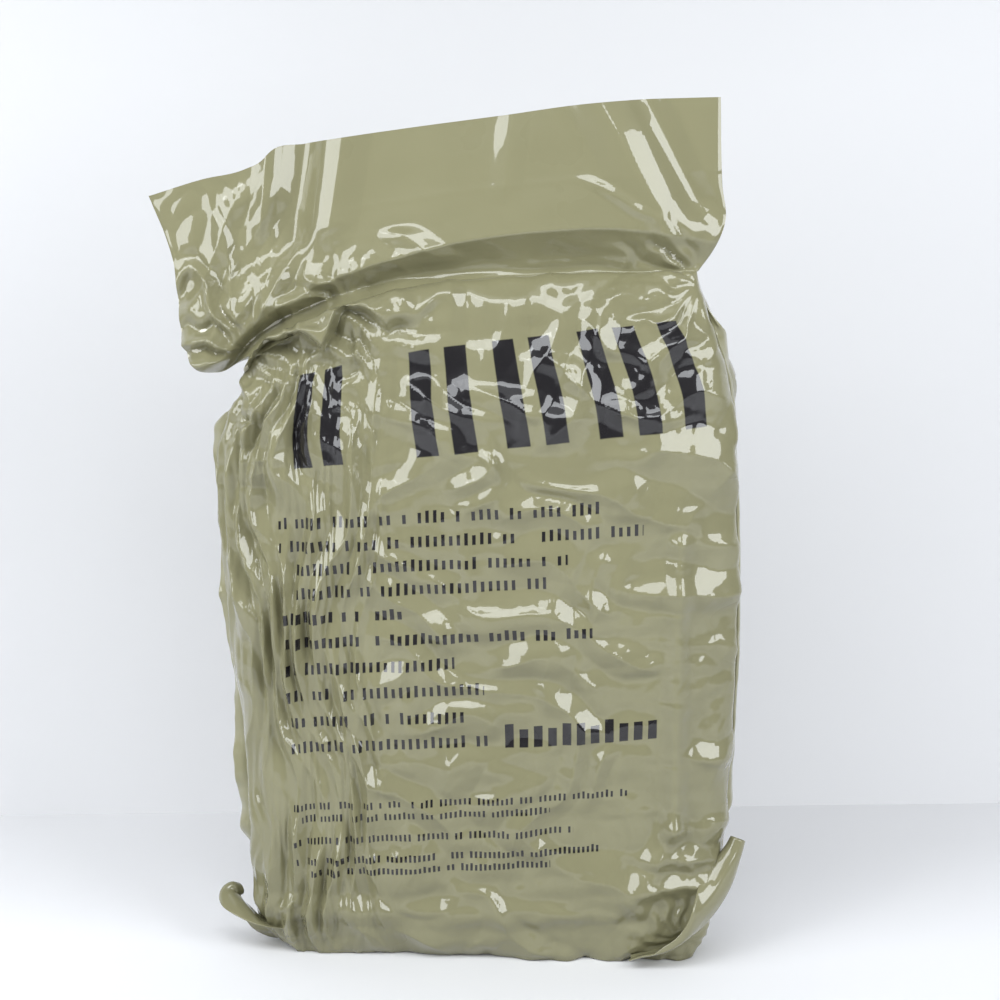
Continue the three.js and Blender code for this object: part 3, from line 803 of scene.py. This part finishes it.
def new_group(name, inputs, outputs):
    """A shader node group with inputs (name, socket type, default) and outputs (name, socket type)."""
    tree = bpy.data.node_groups.new(name, "ShaderNodeTree")
    for label, kind, default in inputs:
        socket = tree.interface.new_socket(label, in_out="INPUT", socket_type=kind)
        if default is not None:
            socket.default_value = default
    for label, kind in outputs:
        tree.interface.new_socket(label, in_out="OUTPUT", socket_type=kind)
    nodes = Nodes(tree)
    return tree, nodes, nodes.add("NodeGroupInput"), nodes.add("NodeGroupOutput")


def tone(tint, factor=1.0):
    """The tint made darker or paler, and opaque."""
    return (*(min(part * factor, 1.0) for part in tint), 1.0)


def crinkle_group():
    """Fine crinkles of pressed film: a height, and a mask of scuffed places."""
    tree, n, take, give = new_group(
        "film_crinkle",
        [("Vector", "NodeSocketVector", None), ("Scale", "NodeSocketFloat", 60.0)],
        [("Height", "NodeSocketFloat"), ("Scuff", "NodeSocketFloat")],
    )
    place = take.outputs["Vector"]
    scale = take.outputs["Scale"]
    fine = n.add("ShaderNodeTexNoise", {"Vector": place, "Scale": scale, "Detail": 3.0,
                                        "Roughness": 0.5, "Distortion": 0.6})
    ridges = n.add("ShaderNodeTexVoronoi", {"Vector": place, "Scale": scale, "Randomness": 1.0},
                   feature="DISTANCE_TO_EDGE")
    ridge = n.remap(ridges.outputs["Distance"], 0.0, 0.25, 1.0, 0.0)
    height = n.maths("ADD", fine.outputs["Fac"], n.maths("MULTIPLY", ridge, 0.12))
    broad = n.add("ShaderNodeTexNoise", {"Vector": place, "Scale": 9.0, "Detail": 4.0})
    n.feed(give.inputs["Height"], height)
    n.feed(give.inputs["Scuff"], n.remap(broad.outputs["Fac"], 0.42, 0.68))
    return tree


def weave_group():
    """A plain weave: a height that follows the threads, and a random tone of wear."""
    tree, n, take, give = new_group(
        "cloth_weave",
        [("Vector", "NodeSocketVector", None), ("Threads", "NodeSocketFloat", 900.0)],
        [("Height", "NodeSocketFloat"), ("Shade", "NodeSocketFloat")],
    )
    parts = n.add("ShaderNodeSeparateXYZ", {"Vector": take.outputs["Vector"]})
    threads = take.outputs["Threads"]
    level = n.maths("ADD", parts.outputs["X"], parts.outputs["Y"])
    warp = n.maths("SINE", n.maths("MULTIPLY", level, threads))
    weft = n.maths("SINE", n.maths("MULTIPLY", parts.outputs["Z"], threads))
    height = n.maths("MULTIPLY", warp, weft)
    wear = n.add("ShaderNodeTexNoise", {"Vector": take.outputs["Vector"], "Scale": 25.0, "Detail": 4.0})
    n.feed(give.inputs["Height"], height)
    n.feed(give.inputs["Shade"], wear.outputs["Fac"])
    return tree


# Places of the print on the flat panel: metres from its middle line and up from the foot weld.
HEADLINE_FOOT = 0.402
HEADLINE_BARS = (-0.128, -0.104, -0.036, -0.010, 0.025, 0.051, 0.087, 0.113, 0.146)
# foot, height, left, right, pitch between ticks, share of the pitch that is inked
TICK_ROWS = (
    (0.355, 0.0088, -0.148, 0.088, 0.0052, 0.42),
    (0.338, 0.0088, -0.145, 0.115, 0.0052, 0.42),
    (0.321, 0.0088, -0.142, 0.064, 0.0052, 0.42),
    (0.304, 0.0088, -0.130, 0.049, 0.0052, 0.42),
    (0.286, 0.0088, -0.142, -0.038, 0.0052, 0.55),
    (0.268, 0.0088, -0.142, 0.080, 0.0052, 0.50),
    (0.249, 0.0088, -0.142, -0.014, 0.0052, 0.42),
    (0.230, 0.0088, -0.142, 0.006, 0.0052, 0.42),
    (0.211, 0.0088, -0.142, -0.006, 0.0052, 0.42),
    (0.192, 0.0088, -0.142, 0.010, 0.0052, 0.42),
    (0.190, 0.0175, 0.018, 0.132, 0.0098, 0.58),
    (0.150, 0.0054, -0.142, 0.105, 0.0033, 0.45),
    (0.141, 0.0054, -0.135, 0.050, 0.0033, 0.45),
    (0.125, 0.0054, -0.142, 0.066, 0.0033, 0.45),
    (0.110, 0.0054, -0.142, 0.087, 0.0033, 0.50),
    (0.101, 0.0054, -0.130, 0.050, 0.0033, 0.50),
)


def marking_group():
    """The generic print: heavy slanted bars, and rows of short ticks in the place of small text."""
    tree, n, take, give = new_group(
        "film_marking",
        [("Flat", "NodeSocketVector", None)],
        [("Ink", "NodeSocketFloat")],
    )
    parts = n.add("ShaderNodeSeparateXYZ", {"Vector": take.outputs["Flat"]})
    x = parts.outputs["X"]
    z = parts.outputs["Y"]

    def within(value, low, high, soft=0.0004):
        """1 between low and high, with soft edges."""
        above = n.remap(value, low - soft, low + soft)
        below = n.remap(value, high - soft, high + soft, 1.0, 0.0)
        return n.maths("MULTIPLY", above, below)

    # Heavy bars, in pairs.
    ink = 0.0
    bar_z = n.maths("SUBTRACT", z, HEADLINE_FOOT)
    slant = n.maths("SUBTRACT", x, n.maths("MULTIPLY", bar_z, -0.12))
    tall = within(z, HEADLINE_FOOT, HEADLINE_FOOT + settings().marking.bar_height)
    for start in HEADLINE_BARS:
        bar = n.maths("MULTIPLY", within(slant, start, start + settings().marking.bar_width), tall)
        ink = n.maths("MAXIMUM", ink, bar)
    # Rows of ticks.
    for foot, height, left, right, pitch, weight in TICK_ROWS:
        pitches = n.maths("DIVIDE", x, pitch)
        tick = n.maths("FRACT", pitches)
        spot = n.add("ShaderNodeCombineXYZ", {"X": n.maths("FLOOR", pitches), "Y": foot * 1000.0})
        dice = n.add("ShaderNodeTexWhiteNoise", {"Vector": spot.outputs["Vector"]}, noise_dimensions="2D")
        chance = dice.outputs["Value"]
        top = n.maths("MULTIPLY_ADD", chance, -0.35 * height, foot + height)
        lit = within(z, foot, foot + height, 0.0003)
        upright = n.maths("MULTIPLY", lit, n.maths("LESS_THAN", z, top))
        thin = n.remap(tick, weight, weight + 0.06, 1.0, 0.0)
        gap = n.maths("LESS_THAN", chance, 0.86)
        row = n.maths("MULTIPLY", n.maths("MULTIPLY", upright, thin), gap)
        row = n.maths("MULTIPLY", row, within(x, left, right))
        ink = n.maths("MAXIMUM", ink, row)
    n.feed(give.inputs["Ink"], ink)
    return tree


class Finishes:
    """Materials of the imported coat."""

    groups = {}
    made = {}

    @classmethod
    def pattern(cls, n, builder, label, value):
        """A pattern group on the piece's own coordinates, with one of its values set."""
        if builder not in cls.groups:
            cls.groups[builder] = builder()
        place = n.add("ShaderNodeTexCoord").outputs["Object"]
        return n.add("ShaderNodeGroup", {"Vector": place, label: value}, node_tree=cls.groups[builder])

    @classmethod
    def start(cls, name, **sockets):
        """A new material with values set on its shader; kept under its name."""
        material = bpy.data.materials.new(name)
        material.use_nodes = True
        shader = material.node_tree.nodes["Principled BSDF"]
        for label, value in sockets.items():
            shader.inputs[label.replace("_", " ")].default_value = value
        cls.made[name] = material
        return material, Nodes(material.node_tree), shader

    @staticmethod
    def surface(n, shader, base, roughness, height, strength, distance):
        """Feeds the colour, the roughness and a fine relief to the shader."""
        relief = n.add("ShaderNodeBump", {"Strength": strength, "Distance": distance, "Height": height})
        n.feed(shader.inputs["Base Color"], base)
        n.feed(shader.inputs["Roughness"], roughness)
        n.feed(shader.inputs["Normal"], relief.outputs["Normal"])

    @classmethod
    def film(cls, printed=False):
        """Glossy olive laminate, paler on its inner face; printed on the front."""
        name = "film_printed" if printed else "film_plain"
        if name in cls.made:
            return cls.made[name]
        finish = settings().finish
        material, n, shader = cls.start(name, Coat_Weight=1.0, Coat_Roughness=0.03, Coat_IOR=1.52,
                                        IOR=1.4, Specular_IOR_Level=0.12)
        crinkle = cls.pattern(n, crinkle_group, "Scale", 55.0)
        scuff = crinkle.outputs["Scuff"]
        base = n.colour_mix(n.maths("MULTIPLY", scuff, 0.35), tone(finish.film), tone(finish.film, 1.18))
        if printed:
            flat = n.add("ShaderNodeUVMap", uv_map="flat").outputs["UV"]
            marking = n.add("ShaderNodeGroup", {"Flat": flat}, node_tree=marking_group())
            base = n.colour_mix(marking.outputs["Ink"], base, tone(settings().marking.ink))
        inside = n.add("ShaderNodeNewGeometry").outputs["Backfacing"]
        base = n.colour_mix(inside, base, tone(finish.film_inside))
        roughness = n.remap(scuff, 0.0, 1.0, 0.26, 0.38)
        cls.surface(n, shader, base, roughness, crinkle.outputs["Height"], 0.35, 0.0006)
        return material

    @classmethod
    def weld(cls):
        """Film welded face to face: flatter, a little paler, with a fine crinkle."""
        name = "welded_film"
        if name in cls.made:
            return cls.made[name]
        film = settings().finish.film
        material, n, shader = cls.start(name, Coat_Weight=0.5, Coat_Roughness=0.06, IOR=1.5)
        crinkle = cls.pattern(n, crinkle_group, "Scale", 90.0)
        scuff = crinkle.outputs["Scuff"]
        base = n.colour_mix(scuff, tone(film, 1.12), tone(film, 1.35))
        roughness = n.remap(scuff, 0.0, 1.0, 0.28, 0.42)
        cls.surface(n, shader, base, roughness, crinkle.outputs["Height"], 0.4, 0.0005)
        return material

    @classmethod
    def cloth(cls, name, tint, threads, roughness, sheen=0.0):
        """Woven cloth, tape or cord of one colour, worn a little paler in places."""
        material, n, shader = cls.start(name, Sheen_Weight=sheen)
        weave = cls.pattern(n, weave_group, "Threads", threads)
        wear = weave.outputs["Shade"]
        base = n.colour_mix(wear, tone(tint, 0.8), tone(tint, 1.25))
        rough = n.remap(wear, 0.0, 1.0, roughness - 0.08, roughness + 0.05)
        cls.surface(n, shader, base, rough, weave.outputs["Height"], 0.6, 0.0003)
        return material

    @classmethod
    def hard(cls, name, tint, roughness, metallic=0.0):
        """Moulded plastic or blackened metal, with fine grain and rubbed patches."""
        material, n, shader = cls.start(name, Metallic=metallic)
        place = n.add("ShaderNodeTexCoord").outputs["Object"]
        grain = n.add("ShaderNodeTexNoise", {"Vector": place, "Scale": 900.0, "Detail": 3.0})
        rub = n.add("ShaderNodeTexNoise", {"Vector": place, "Scale": 120.0, "Detail": 5.0})
        worn = n.remap(rub.outputs["Fac"], 0.5, 0.72)
        base = n.colour_mix(worn, tone(tint), tone(tint, 1.9))
        rough = n.remap(worn, 0.0, 1.0, roughness, roughness - 0.12)
        cls.surface(n, shader, base, rough, grain.outputs["Fac"], 0.3, 0.0002)
        return material


# ---------------------------------------------------------------------------------------------
# Operators

DOUBLED_FILM = 0.0006  # thickness of the welds and the ears
WELD_COLUMNS = 11
WELD_WIDTHS = (0.002, 0.022)  # the narrowest and the widest
RUFFLE = 0.0085  # how far a weld's edge wanders
CRIMP = 0.0030  # height of its small folds
EAR_COLUMNS = 25
EAR_ROWS = 41
EAR_FACING = (0.0, -1.0, 0.25)
EAR_CRINKLE = 0.0036

# The side welds: how far out the edge stands at heights, and how far it curls back there.
WELD_REACH = {
    "left": ((0.062, 0.172), (0.13, 0.179), (0.165, 0.1775), (0.199, 0.178), (0.253, 0.185), (0.30, 0.181),
             (0.355, 0.189), (0.385, 0.187), (0.397, 0.180)),
    "right": ((0.098, 0.177), (0.20, 0.179), (0.30, 0.179), (0.38, 0.174), (0.44, 0.167), (0.466, 0.158)),
}
WELD_BACK = {
    "left": ((0.06, 0.010), (0.18, 0.008), (0.25, 0.001), (0.33, 0.0), (0.36, 0.004), (0.40, 0.0)),
    "right": ((0.09, 0.014), (0.30, 0.012), (0.40, 0.008), (0.448, 0.001)),
}

# Ears: name, path, and at even places along it the width, the turns rolled and the spin; flat size.
EARS = (
    ("left", ((-0.138, -0.014, 0.010), (-0.154, -0.019, 0.017), (-0.169, -0.017, 0.028),
              (-0.178, -0.010, 0.035), (-0.173, -0.003, 0.036)),
     (0.036, 0.040, 0.036, 0.028, 0.016), (0.10, 0.20, 0.40, 0.55, 0.6), (0.32, 0.30, 0.25, 0.18, 0.1),
     (0.034, 0.056)),
    ("right", ((0.108, -0.022, 0.006), (0.138, -0.024, 0.016), (0.159, -0.021, 0.036),
               (0.173, -0.015, 0.064), (0.181, -0.009, 0.086)),
     (0.050, 0.070, 0.062, 0.046, 0.034), (0.05, 0.12, 0.34, 0.75, 1.05), (0.28, 0.27, 0.24, 0.18, 0.15),
     (0.051, 0.104)),
)
EAR_HINGES = {
    "left": ((-0.1575, 0.0, 0.0235), (-0.953, 0.0, -0.302)),
    "right": ((0.1625, 0.0, 0.0265), (0.986, 0.0, -0.168)),
}


class PressedPanels:
    """The two pressed panels, shared by the pieces that grow from their edges."""

    forms = {}
    points = {}


def panel_flat(form, grid):
    """Metres across the flat panel from its middle line, and up it from the foot weld."""
    across = np.linalg.norm(np.diff(grid, axis=1), axis=-1)[: form.header_rows].mean(axis=0)
    along = np.linalg.norm(np.diff(grid, axis=0), axis=-1).mean(axis=1)
    across = np.concatenate([[0.0], np.cumsum(across)])
    along = np.concatenate([[0.0], np.cumsum(along)])
    middle = np.interp(0.5, form.share, across)
    return np.stack(np.meshgrid(across - middle, along), axis=-1)


def press_panel(side):
    """Presses the front (1) or the back (-1) panel, keeps it and returns its flat shares."""
    film = settings().film
    fineness = 1 if side > 0 else BACK_COARSENESS
    form = PanelForm(side, film.columns // fineness + 1, film.rows // fineness + 1)
    grid = form.points()
    body = (form.rows["header"] <= 0.0)[:, None]
    x = grid[..., 0]
    z = grid[..., 2]
    relief = coat_relief(grid, LUMP_SEEDS[side])
    if side > 0:
        relief = relief + fold_relief(x, z, BODY_FOLDS)
    inner = ease(-side * grid[..., 1] / 0.008) * body * ease((form.rows["under"] - 0.6) / 0.4)[:, None]
    relief = np.maximum(relief, -0.0009) * inner
    waving = bump(-side * grid[..., 1] / 0.006) * body
    facing = film_normals(grid, side)
    frontal = mix(0.35, 1.0, ease(np.abs(facing[..., 1])))
    height = (relief + slack(grid, form) * inner) * frontal * body
    grid += facing * height[..., None]
    grid[..., 1] += seam_wave(x, z) * waving
    pinned = np.zeros(grid.shape[:2], bool)
    pinned[:, 0] = True
    pinned[:, -1] = True
    pinned[0] = True
    if side < 0:
        front = PressedPanels.points[1]
        match = slice(None, None, fineness)
        gap = mix(*LEAF_GAPS, ease(form.rows["header"] / 0.08))[:, None]
        gap = gap * np.minimum(np.minimum(form.share, 1.0 - form.share) / 0.012, 1.0)
        inward = -film_normals(front, 1)[match, match]
        leaf = form.rows["header"] > 0.0
        grid[leaf] = (front[match, match] + inward * gap[..., None])[leaf]
        pinned[leaf] = True
    flat = panel_flat(form, grid)
    pressed = press_film(form, grid, pinned, relief)
    lip = form.neck_lip(pressed[..., 0])
    if side < 0:
        lip = lip * body
    pressed[..., 1] -= lip
    detail = fine_creases(pressed, side) * inner_part(form, pressed)
    pressed = within_depth(pressed + film_normals(pressed, side) * detail[..., None])
    pressed[..., 2] = np.maximum(pressed[..., 2], LEAST_HEIGHT)
    PressedPanels.forms[side] = form
    PressedPanels.points[side] = pressed
    return form, flat


class PACKEDCOAT_OT_film(bpy.types.Operator):
    """Press the front and the back film on to the coat, with the header's leaves above"""

    bl_idname = "packed_coat.film"
    bl_label = "Barrier Film"

    def execute(self, context):
        film = settings().film
        for side, face in ((1, "front"), (-1, "back")):
            form, flat = press_panel(side)
            points = PressedPanels.points[side]
            split = form.split
            material = Finishes.film(printed=side > 0)
            facing = film_normals(points, side)
            body = sheet_piece(f"{face}_panel", points[: split + 1], flat[: split + 1], side,
                               facing[: split + 1])
            leaf = sheet_piece(f"header_{face}_panel", points[split:], flat[split:], side, facing[split:])
            finish_piece(body, "pack", material)
            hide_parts(f"{face}_film")
            finish_piece(leaf, None, material)
            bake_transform(leaf)
            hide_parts(f"header_{face}_leaf")
        return {"FINISHED"}


def plain_flat(rows, columns):
    """Shares of a plain rectangle for a grid of points."""
    return np.stack(np.meshgrid(np.linspace(0, 1, columns), np.linspace(0, 1, rows)), axis=-1)


class PACKEDCOAT_OT_side_welds(bpy.types.Operator):
    """Grow the two side welds from the panels' edges, ruffled and curling back"""

    bl_idname = "packed_coat.side_welds"
    bl_label = "Side Welds"

    def execute(self, context):
        points = PressedPanels.points[1]
        columns = WELD_COLUMNS
        for word, side in (("left", -1), ("right", 1)):
            low, high = (np.array(corner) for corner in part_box(f"{word}_side_seal"))
            edge = points[:, 0] if side < 0 else points[:, -1]
            keep = (edge[:, 2] > low[2]) & (edge[:, 2] < high[2] - 0.001)
            roots = edge[keep][::2]
            z = roots[:, 2]
            places, reaches = np.array(WELD_REACH[word]).T
            reach = np.interp(z, places, reaches) - np.abs(roots[:, 0])
            reach = np.clip(reach, *WELD_WIDTHS) * ease((z - z[0] + 0.004) / 0.02)
            reach = reach * ease((z[-1] + 0.004 - z) / 0.03)
            reach = reach * (1.0 + 0.10 * soft_noise(z / 0.016, side, 52))
            ruffle = RUFFLE * soft_noise(z / 0.024, 8.0 + side, 61) + CRIMP * facets(z / 0.019)
            back = np.interp(z, *np.array(WELD_BACK[word]).T)
            share = np.linspace(0.0, 1.0, columns)[None, :]
            sheet = np.repeat(roots[:, None, :], columns, axis=1)
            sheet[..., 0] += side * reach[:, None] * np.sin(share * math.pi / 2 * 0.9 + 0.1 * share)
            sheet[..., 1] += ruffle[:, None] * share + back[:, None] * share**2
            sheet[..., 1] += 0.0007 * side * np.sin(share * 9.0) * share
            sheet[..., 2] += 0.0025 * soft_noise(z / 0.02, 5.0 * side, 63)[:, None] * share
            strip = sheet_piece(f"{word}_weld", sheet, plain_flat(len(z), columns), side)
            subdivide(strip)
            thicken(strip)
            finish_piece(strip, None, Finishes.weld())
            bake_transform(strip)
            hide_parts(f"{word}_side_seal")
        return {"FINISHED"}


def rolled_film(name, path, widths, turns, spins):
    """A strip of film that rolls up more and more along a path."""
    columns = EAR_COLUMNS
    rows = EAR_ROWS
    t = np.linspace(0.0, 1.0, rows)
    places = np.linspace(0.0, 1.0, len(path))
    line = np.stack([through(t, tuple(zip(places, axis))) for axis in np.array(path).T], axis=-1)
    tangent = np.gradient(line, axis=0)
    tangent = tangent / np.linalg.norm(tangent, axis=-1, keepdims=True)
    near = np.cross(tangent, np.array(EAR_FACING))
    near = near / np.linalg.norm(near, axis=-1, keepdims=True)
    far = np.cross(tangent, near)
    spread = np.linspace(-0.5, 0.5, columns)
    width = through(t, tuple(zip(places, widths)))[:, None]
    turn = through(t, tuple(zip(places, turns)))[:, None] * 2.0 * math.pi
    spin = through(t, tuple(zip(places, spins)))[:, None] * 2.0 * math.pi
    heading = spin + turn * spread[None, :]
    step = width / (columns - 1)
    run_a = np.cumsum(np.cos(heading) * step, axis=1)
    run_b = np.cumsum(np.sin(heading) * step, axis=1)
    run_a = run_a - run_a.mean(axis=1, keepdims=True)
    run_b = run_b - run_b.mean(axis=1, keepdims=True)
    points = line[:, None] + near[:, None] * run_a[..., None] + far[:, None] * run_b[..., None]
    crinkle = crumple(spread[None, :] * width, (t * 0.06)[:, None], 0.011, 5 + rows) - 0.5
    points = points + (near * 0.7 + far * 0.7)[:, None] * (crinkle * EAR_CRINKLE)[..., None]
    points[..., 2] = np.maximum(points[..., 2], DOUBLED_FILM)
    return sheet_piece(name, within_depth(points), plain_flat(rows, columns), 1)


class PACKEDCOAT_OT_ears(bpy.types.Operator):
    """Roll the two lower corners of the bag into ears"""

    bl_idname = "packed_coat.ears"
    bl_label = "Corner Ears"

    def execute(self, context):
        for word, path, widths, turns, spins, flat in EARS:
            ear = rolled_film(f"{word}_ear_film", path, widths, turns, spins)
            subdivide(ear)
            thicken(ear)
            finish_piece(ear, None, Finishes.film())
            hinge, outward = EAR_HINGES[word]
            hinge = Vector(hinge)
            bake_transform(ear)
            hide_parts(f"{word}_corner_ear")
        return {"FINISHED"}


class PACKEDCOAT_OT_closing_weld(bpy.types.Operator):
    """Lay the closing weld between the header's leaves"""

    bl_idname = "packed_coat.closing_weld"
    bl_label = "Closing Weld"

    def execute(self, context):
        header = PressedPanels.forms[1].rows["header"]
        keep = (header > CLOSING_WELD[0]) & (header < CLOSING_WELD[1])
        front = PressedPanels.points[1]
        points = (front - film_normals(front, 1) * 0.00075)[keep][:, 4:-4:2]
        rows, columns = points.shape[:2]
        weld = sheet_piece("closing_weld", points, plain_flat(rows, columns), 1)
        subdivide(weld)
        finish_piece(weld, "header", Finishes.weld())
        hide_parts("closing_seal")
        return {"FINISHED"}


CAD_FINISHES = {
    "shell_cloth": ("storm_flap", "left_front_shell", "right_front_shell", "left_sleeve", "right_sleeve",
                    "left_cuff", "right_cuff", "sleeve_pocket", "sleeve_pocket_flap", "hood",
                    "lower_skirt", "back_shell"),
    "liner_cloth": ("left_front_liner", "right_front_liner", "back_liner"),
    "webbing": ("flap_loop_strip", "flap_hook_strip", "left_zip_half", "right_zip_half",
                "left_wrist_tab", "right_wrist_tab", "hood_drawcord", "hem_drawcord", "waist_loop"),
    "hardware": ("hood_cord_lock", "left_hem_lock", "right_hem_lock"),
    "metal": ("zip_slider", "zip_pull", "zip_bottom_box", "waist_loop_snap"),
    "label": ("size_label",),
    "seal": ("bottom_seal",),
}


class PACKEDCOAT_OT_coat(bpy.types.Operator):
    """Finish every piece of the folded coat and the foot weld"""

    bl_idname = "packed_coat.coat"
    bl_label = "Folded Coat"

    def execute(self, context):
        finish = settings().finish
        materials = {
            "shell_cloth": Finishes.cloth("shell_cloth", finish.shell_cloth, 2600.0, 0.85, 0.2),
            "liner_cloth": Finishes.cloth("liner_cloth", finish.liner_cloth, 1500.0, 0.92, 0.3),
            "webbing": Finishes.cloth("webbing", finish.webbing, 4200.0, 0.8, 0.1),
            "hardware": Finishes.hard("moulded_lock", finish.hardware, 0.5),
            "metal": Finishes.hard("blackened_metal", finish.metal, 0.42, 1.0),
            "label": Finishes.cloth("label_cloth", finish.label, 6000.0, 0.8),
            "seal": Finishes.weld(),
        }
        for word, nodes in CAD_FINISHES.items():
            for node in nodes:
                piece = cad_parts[node]
                piece.data.materials.clear()
                piece.data.materials.append(materials[word])
        return {"FINISHED"}


LIGHT_TARGET = (0.0, 0.0, 0.3)
LIGHT_COLOUR = (0.94, 0.97, 1.0)
SKY_COLOUR = (0.93, 0.95, 1.0)
SKY_STRENGTH = 0.14
# The floor's colour, and the darker colour that the wall fades to 0.8 m up: painted shade, so the wall is
# darker towards the top.
FLOOR_TONE = (0.70, 0.70, 0.71)
WALL_TONE_WITH_PAINTED_SHADE = (0.50, 0.50, 0.508)
SENSOR_WIDTH = 36.0  # millimetres
# Softboxes: name, place, width and height, power.
STUDIO_LIGHTS = (
    ("high_front", (-0.25, -1.1, 1.55), (1.5, 0.55), 17.0),
    ("left_strip", (-1.28, -1.04, 1.00), (1.2, 1.1), 27.0),
    ("right_strip", (1.34, -0.98, 1.00), (1.1, 1.1), 28.0),
    ("top", (0.0, -1.2, 2.2), (1.4, 0.8), 3.0),
)


def facing_angles(place, target):
    """Turn of a camera or a light at a place that looks at a target."""
    return (Vector(target) - Vector(place)).to_track_quat("-Z", "Y").to_euler()


def studio_light(name, place, size, power):
    """A softbox that faces the pack's middle."""
    light = bpy.data.lights.new(name, "AREA")
    light.shape = "RECTANGLE"
    light.size, light.size_y = size
    light.energy = power
    light.color = LIGHT_COLOUR
    lamp = bpy.data.objects.new(name, light)
    lamp.location = place
    lamp.rotation_euler = facing_angles(place, LIGHT_TARGET)
    bpy.context.scene.collection.objects.link(lamp)


class PACKEDCOAT_OT_stage(bpy.types.Operator):
    """Set up the camera, the pale floor and wall, and the softboxes"""

    bl_idname = "packed_coat.stage"
    bl_label = "Studio"

    def execute(self, context):
        stage = settings().stage
        scene = context.scene
        camera = bpy.data.cameras.new("camera")
        camera.lens = stage.lens
        camera.sensor_width = SENSOR_WIDTH
        viewer = bpy.data.objects.new("camera", camera)
        viewer.location = stage.camera_place
        viewer.rotation_euler = facing_angles(stage.camera_place, stage.camera_target)
        scene.collection.objects.link(viewer)
        scene.camera = viewer

        white, n, shader = Finishes.start("studio_white", Roughness=0.7)
        place = n.add("ShaderNodeTexCoord").outputs["Object"]
        mottle = n.add("ShaderNodeTexNoise", {"Vector": place, "Scale": 3.0, "Detail": 2.0})
        # The floor keeps the floor tone. Up the wall the colour darkens to the wall tone over 0.8 m, which
        # is painted shade, with a faint random mottle on top.
        height = n.add("ShaderNodeSeparateXYZ", {"Vector": place}).outputs["Z"]
        shade = n.maths("ADD", n.remap(height, 0.0, 0.8), n.maths("MULTIPLY", mottle.outputs["Fac"], 0.08))
        n.feed(shader.inputs["Base Color"], n.colour_mix(shade, tone(FLOOR_TONE), tone(WALL_TONE_WITH_PAINTED_SHADE)))
        # Seen from behind, the wall and the floor are clear, so the pack's back can be looked at.
        behind = n.add("ShaderNodeNewGeometry").outputs["Backfacing"]
        clear = n.add("ShaderNodeBsdfTransparent")
        surface = n.add("ShaderNodeMixShader", {"Fac": behind})
        n.feed(surface.inputs[1], shader.outputs["BSDF"])
        n.feed(surface.inputs[2], clear.outputs["BSDF"])
        n.feed(white.node_tree.nodes["Material Output"].inputs["Surface"], surface.outputs["Shader"])
        for name, corner, run, rise in (
            ("floor", (-2.5, -2.5, 0.0), (5.0, 0.0, 0.0), (0.0, 3.2 + stage.wall_distance, 0.0)),
            ("wall", (-2.5, stage.wall_distance - 0.27, 0.0), (5.0, 0.54, 0.0), (0.0, 0.0, 3.0)),
        ):
            mesh = bpy.data.meshes.new(name)
            bm = bmesh.new()
            bmesh.ops.create_grid(bm, x_segments=4, y_segments=4, size=0.5)
            for vertex in bm.verts:
                share_x = vertex.co.x + 0.5
                share_y = vertex.co.y + 0.5
                vertex.co = Vector(corner) + Vector(run) * share_x + Vector(rise) * share_y
            bm.to_mesh(mesh)
            bm.free()
            board = bpy.data.objects.new(name, mesh)
            scene.collection.objects.link(board)
            mesh.materials.append(white)

        for name, place, size, power in STUDIO_LIGHTS:
            studio_light(name, place, size, power)
        world = bpy.data.worlds.new("studio")
        scene.world = world
        world.use_nodes = True
        background = world.node_tree.nodes["Background"]
        background.inputs["Color"].default_value = tone(SKY_COLOUR)
        background.inputs["Strength"].default_value = SKY_STRENGTH
        scene.view_settings.view_transform = "Standard"
        return {"FINISHED"}


# ---------------------------------------------------------------------------------------------
# Panel and registration


OPERATORS = (
    PACKEDCOAT_OT_film,
    PACKEDCOAT_OT_side_welds,
    PACKEDCOAT_OT_ears,
    PACKEDCOAT_OT_closing_weld,
    PACKEDCOAT_OT_coat,
    PACKEDCOAT_OT_stage,
)


class PACKEDCOAT_PT_sidebar(bpy.types.Panel):
    """Sidebar panel that lists the settings and the operators"""

    bl_label = "Packed Coat"
    bl_idname = "PACKEDCOAT_PT_sidebar"
    bl_space_type = "VIEW_3D"
    bl_region_type = "UI"
    bl_category = "Packed Coat"

    def draw(self, context):
        for group in (settings().pack, settings().film, settings().marking, settings().finish,
                      settings().stage):
            box = self.layout.box()
            for name in group.__annotations__:
                box.prop(group, name)
        for operator in OPERATORS:
            self.layout.operator(operator.bl_idname)


CLASSES = (
    PackSettings,
    FilmSettings,
    PrintSettings,
    FinishSettings,
    StageSettings,
    PackedCoatSettings,
    *OPERATORS,
    PACKEDCOAT_PT_sidebar,
)


def register():
    for cls in CLASSES:
        bpy.utils.register_class(cls)
    bpy.types.Scene.packed_coat = bpy.props.PointerProperty(type=PackedCoatSettings)


def unregister():
    del bpy.types.Scene.packed_coat
    for cls in reversed(CLASSES):
        bpy.utils.unregister_class(cls)


def main():
    register()
    bpy.ops.packed_coat.film()
    bpy.ops.packed_coat.side_welds()
    bpy.ops.packed_coat.ears()
    bpy.ops.packed_coat.closing_weld()
    bpy.ops.packed_coat.coat()
    bpy.ops.packed_coat.stage()


if __name__ == "__main__":
    main()
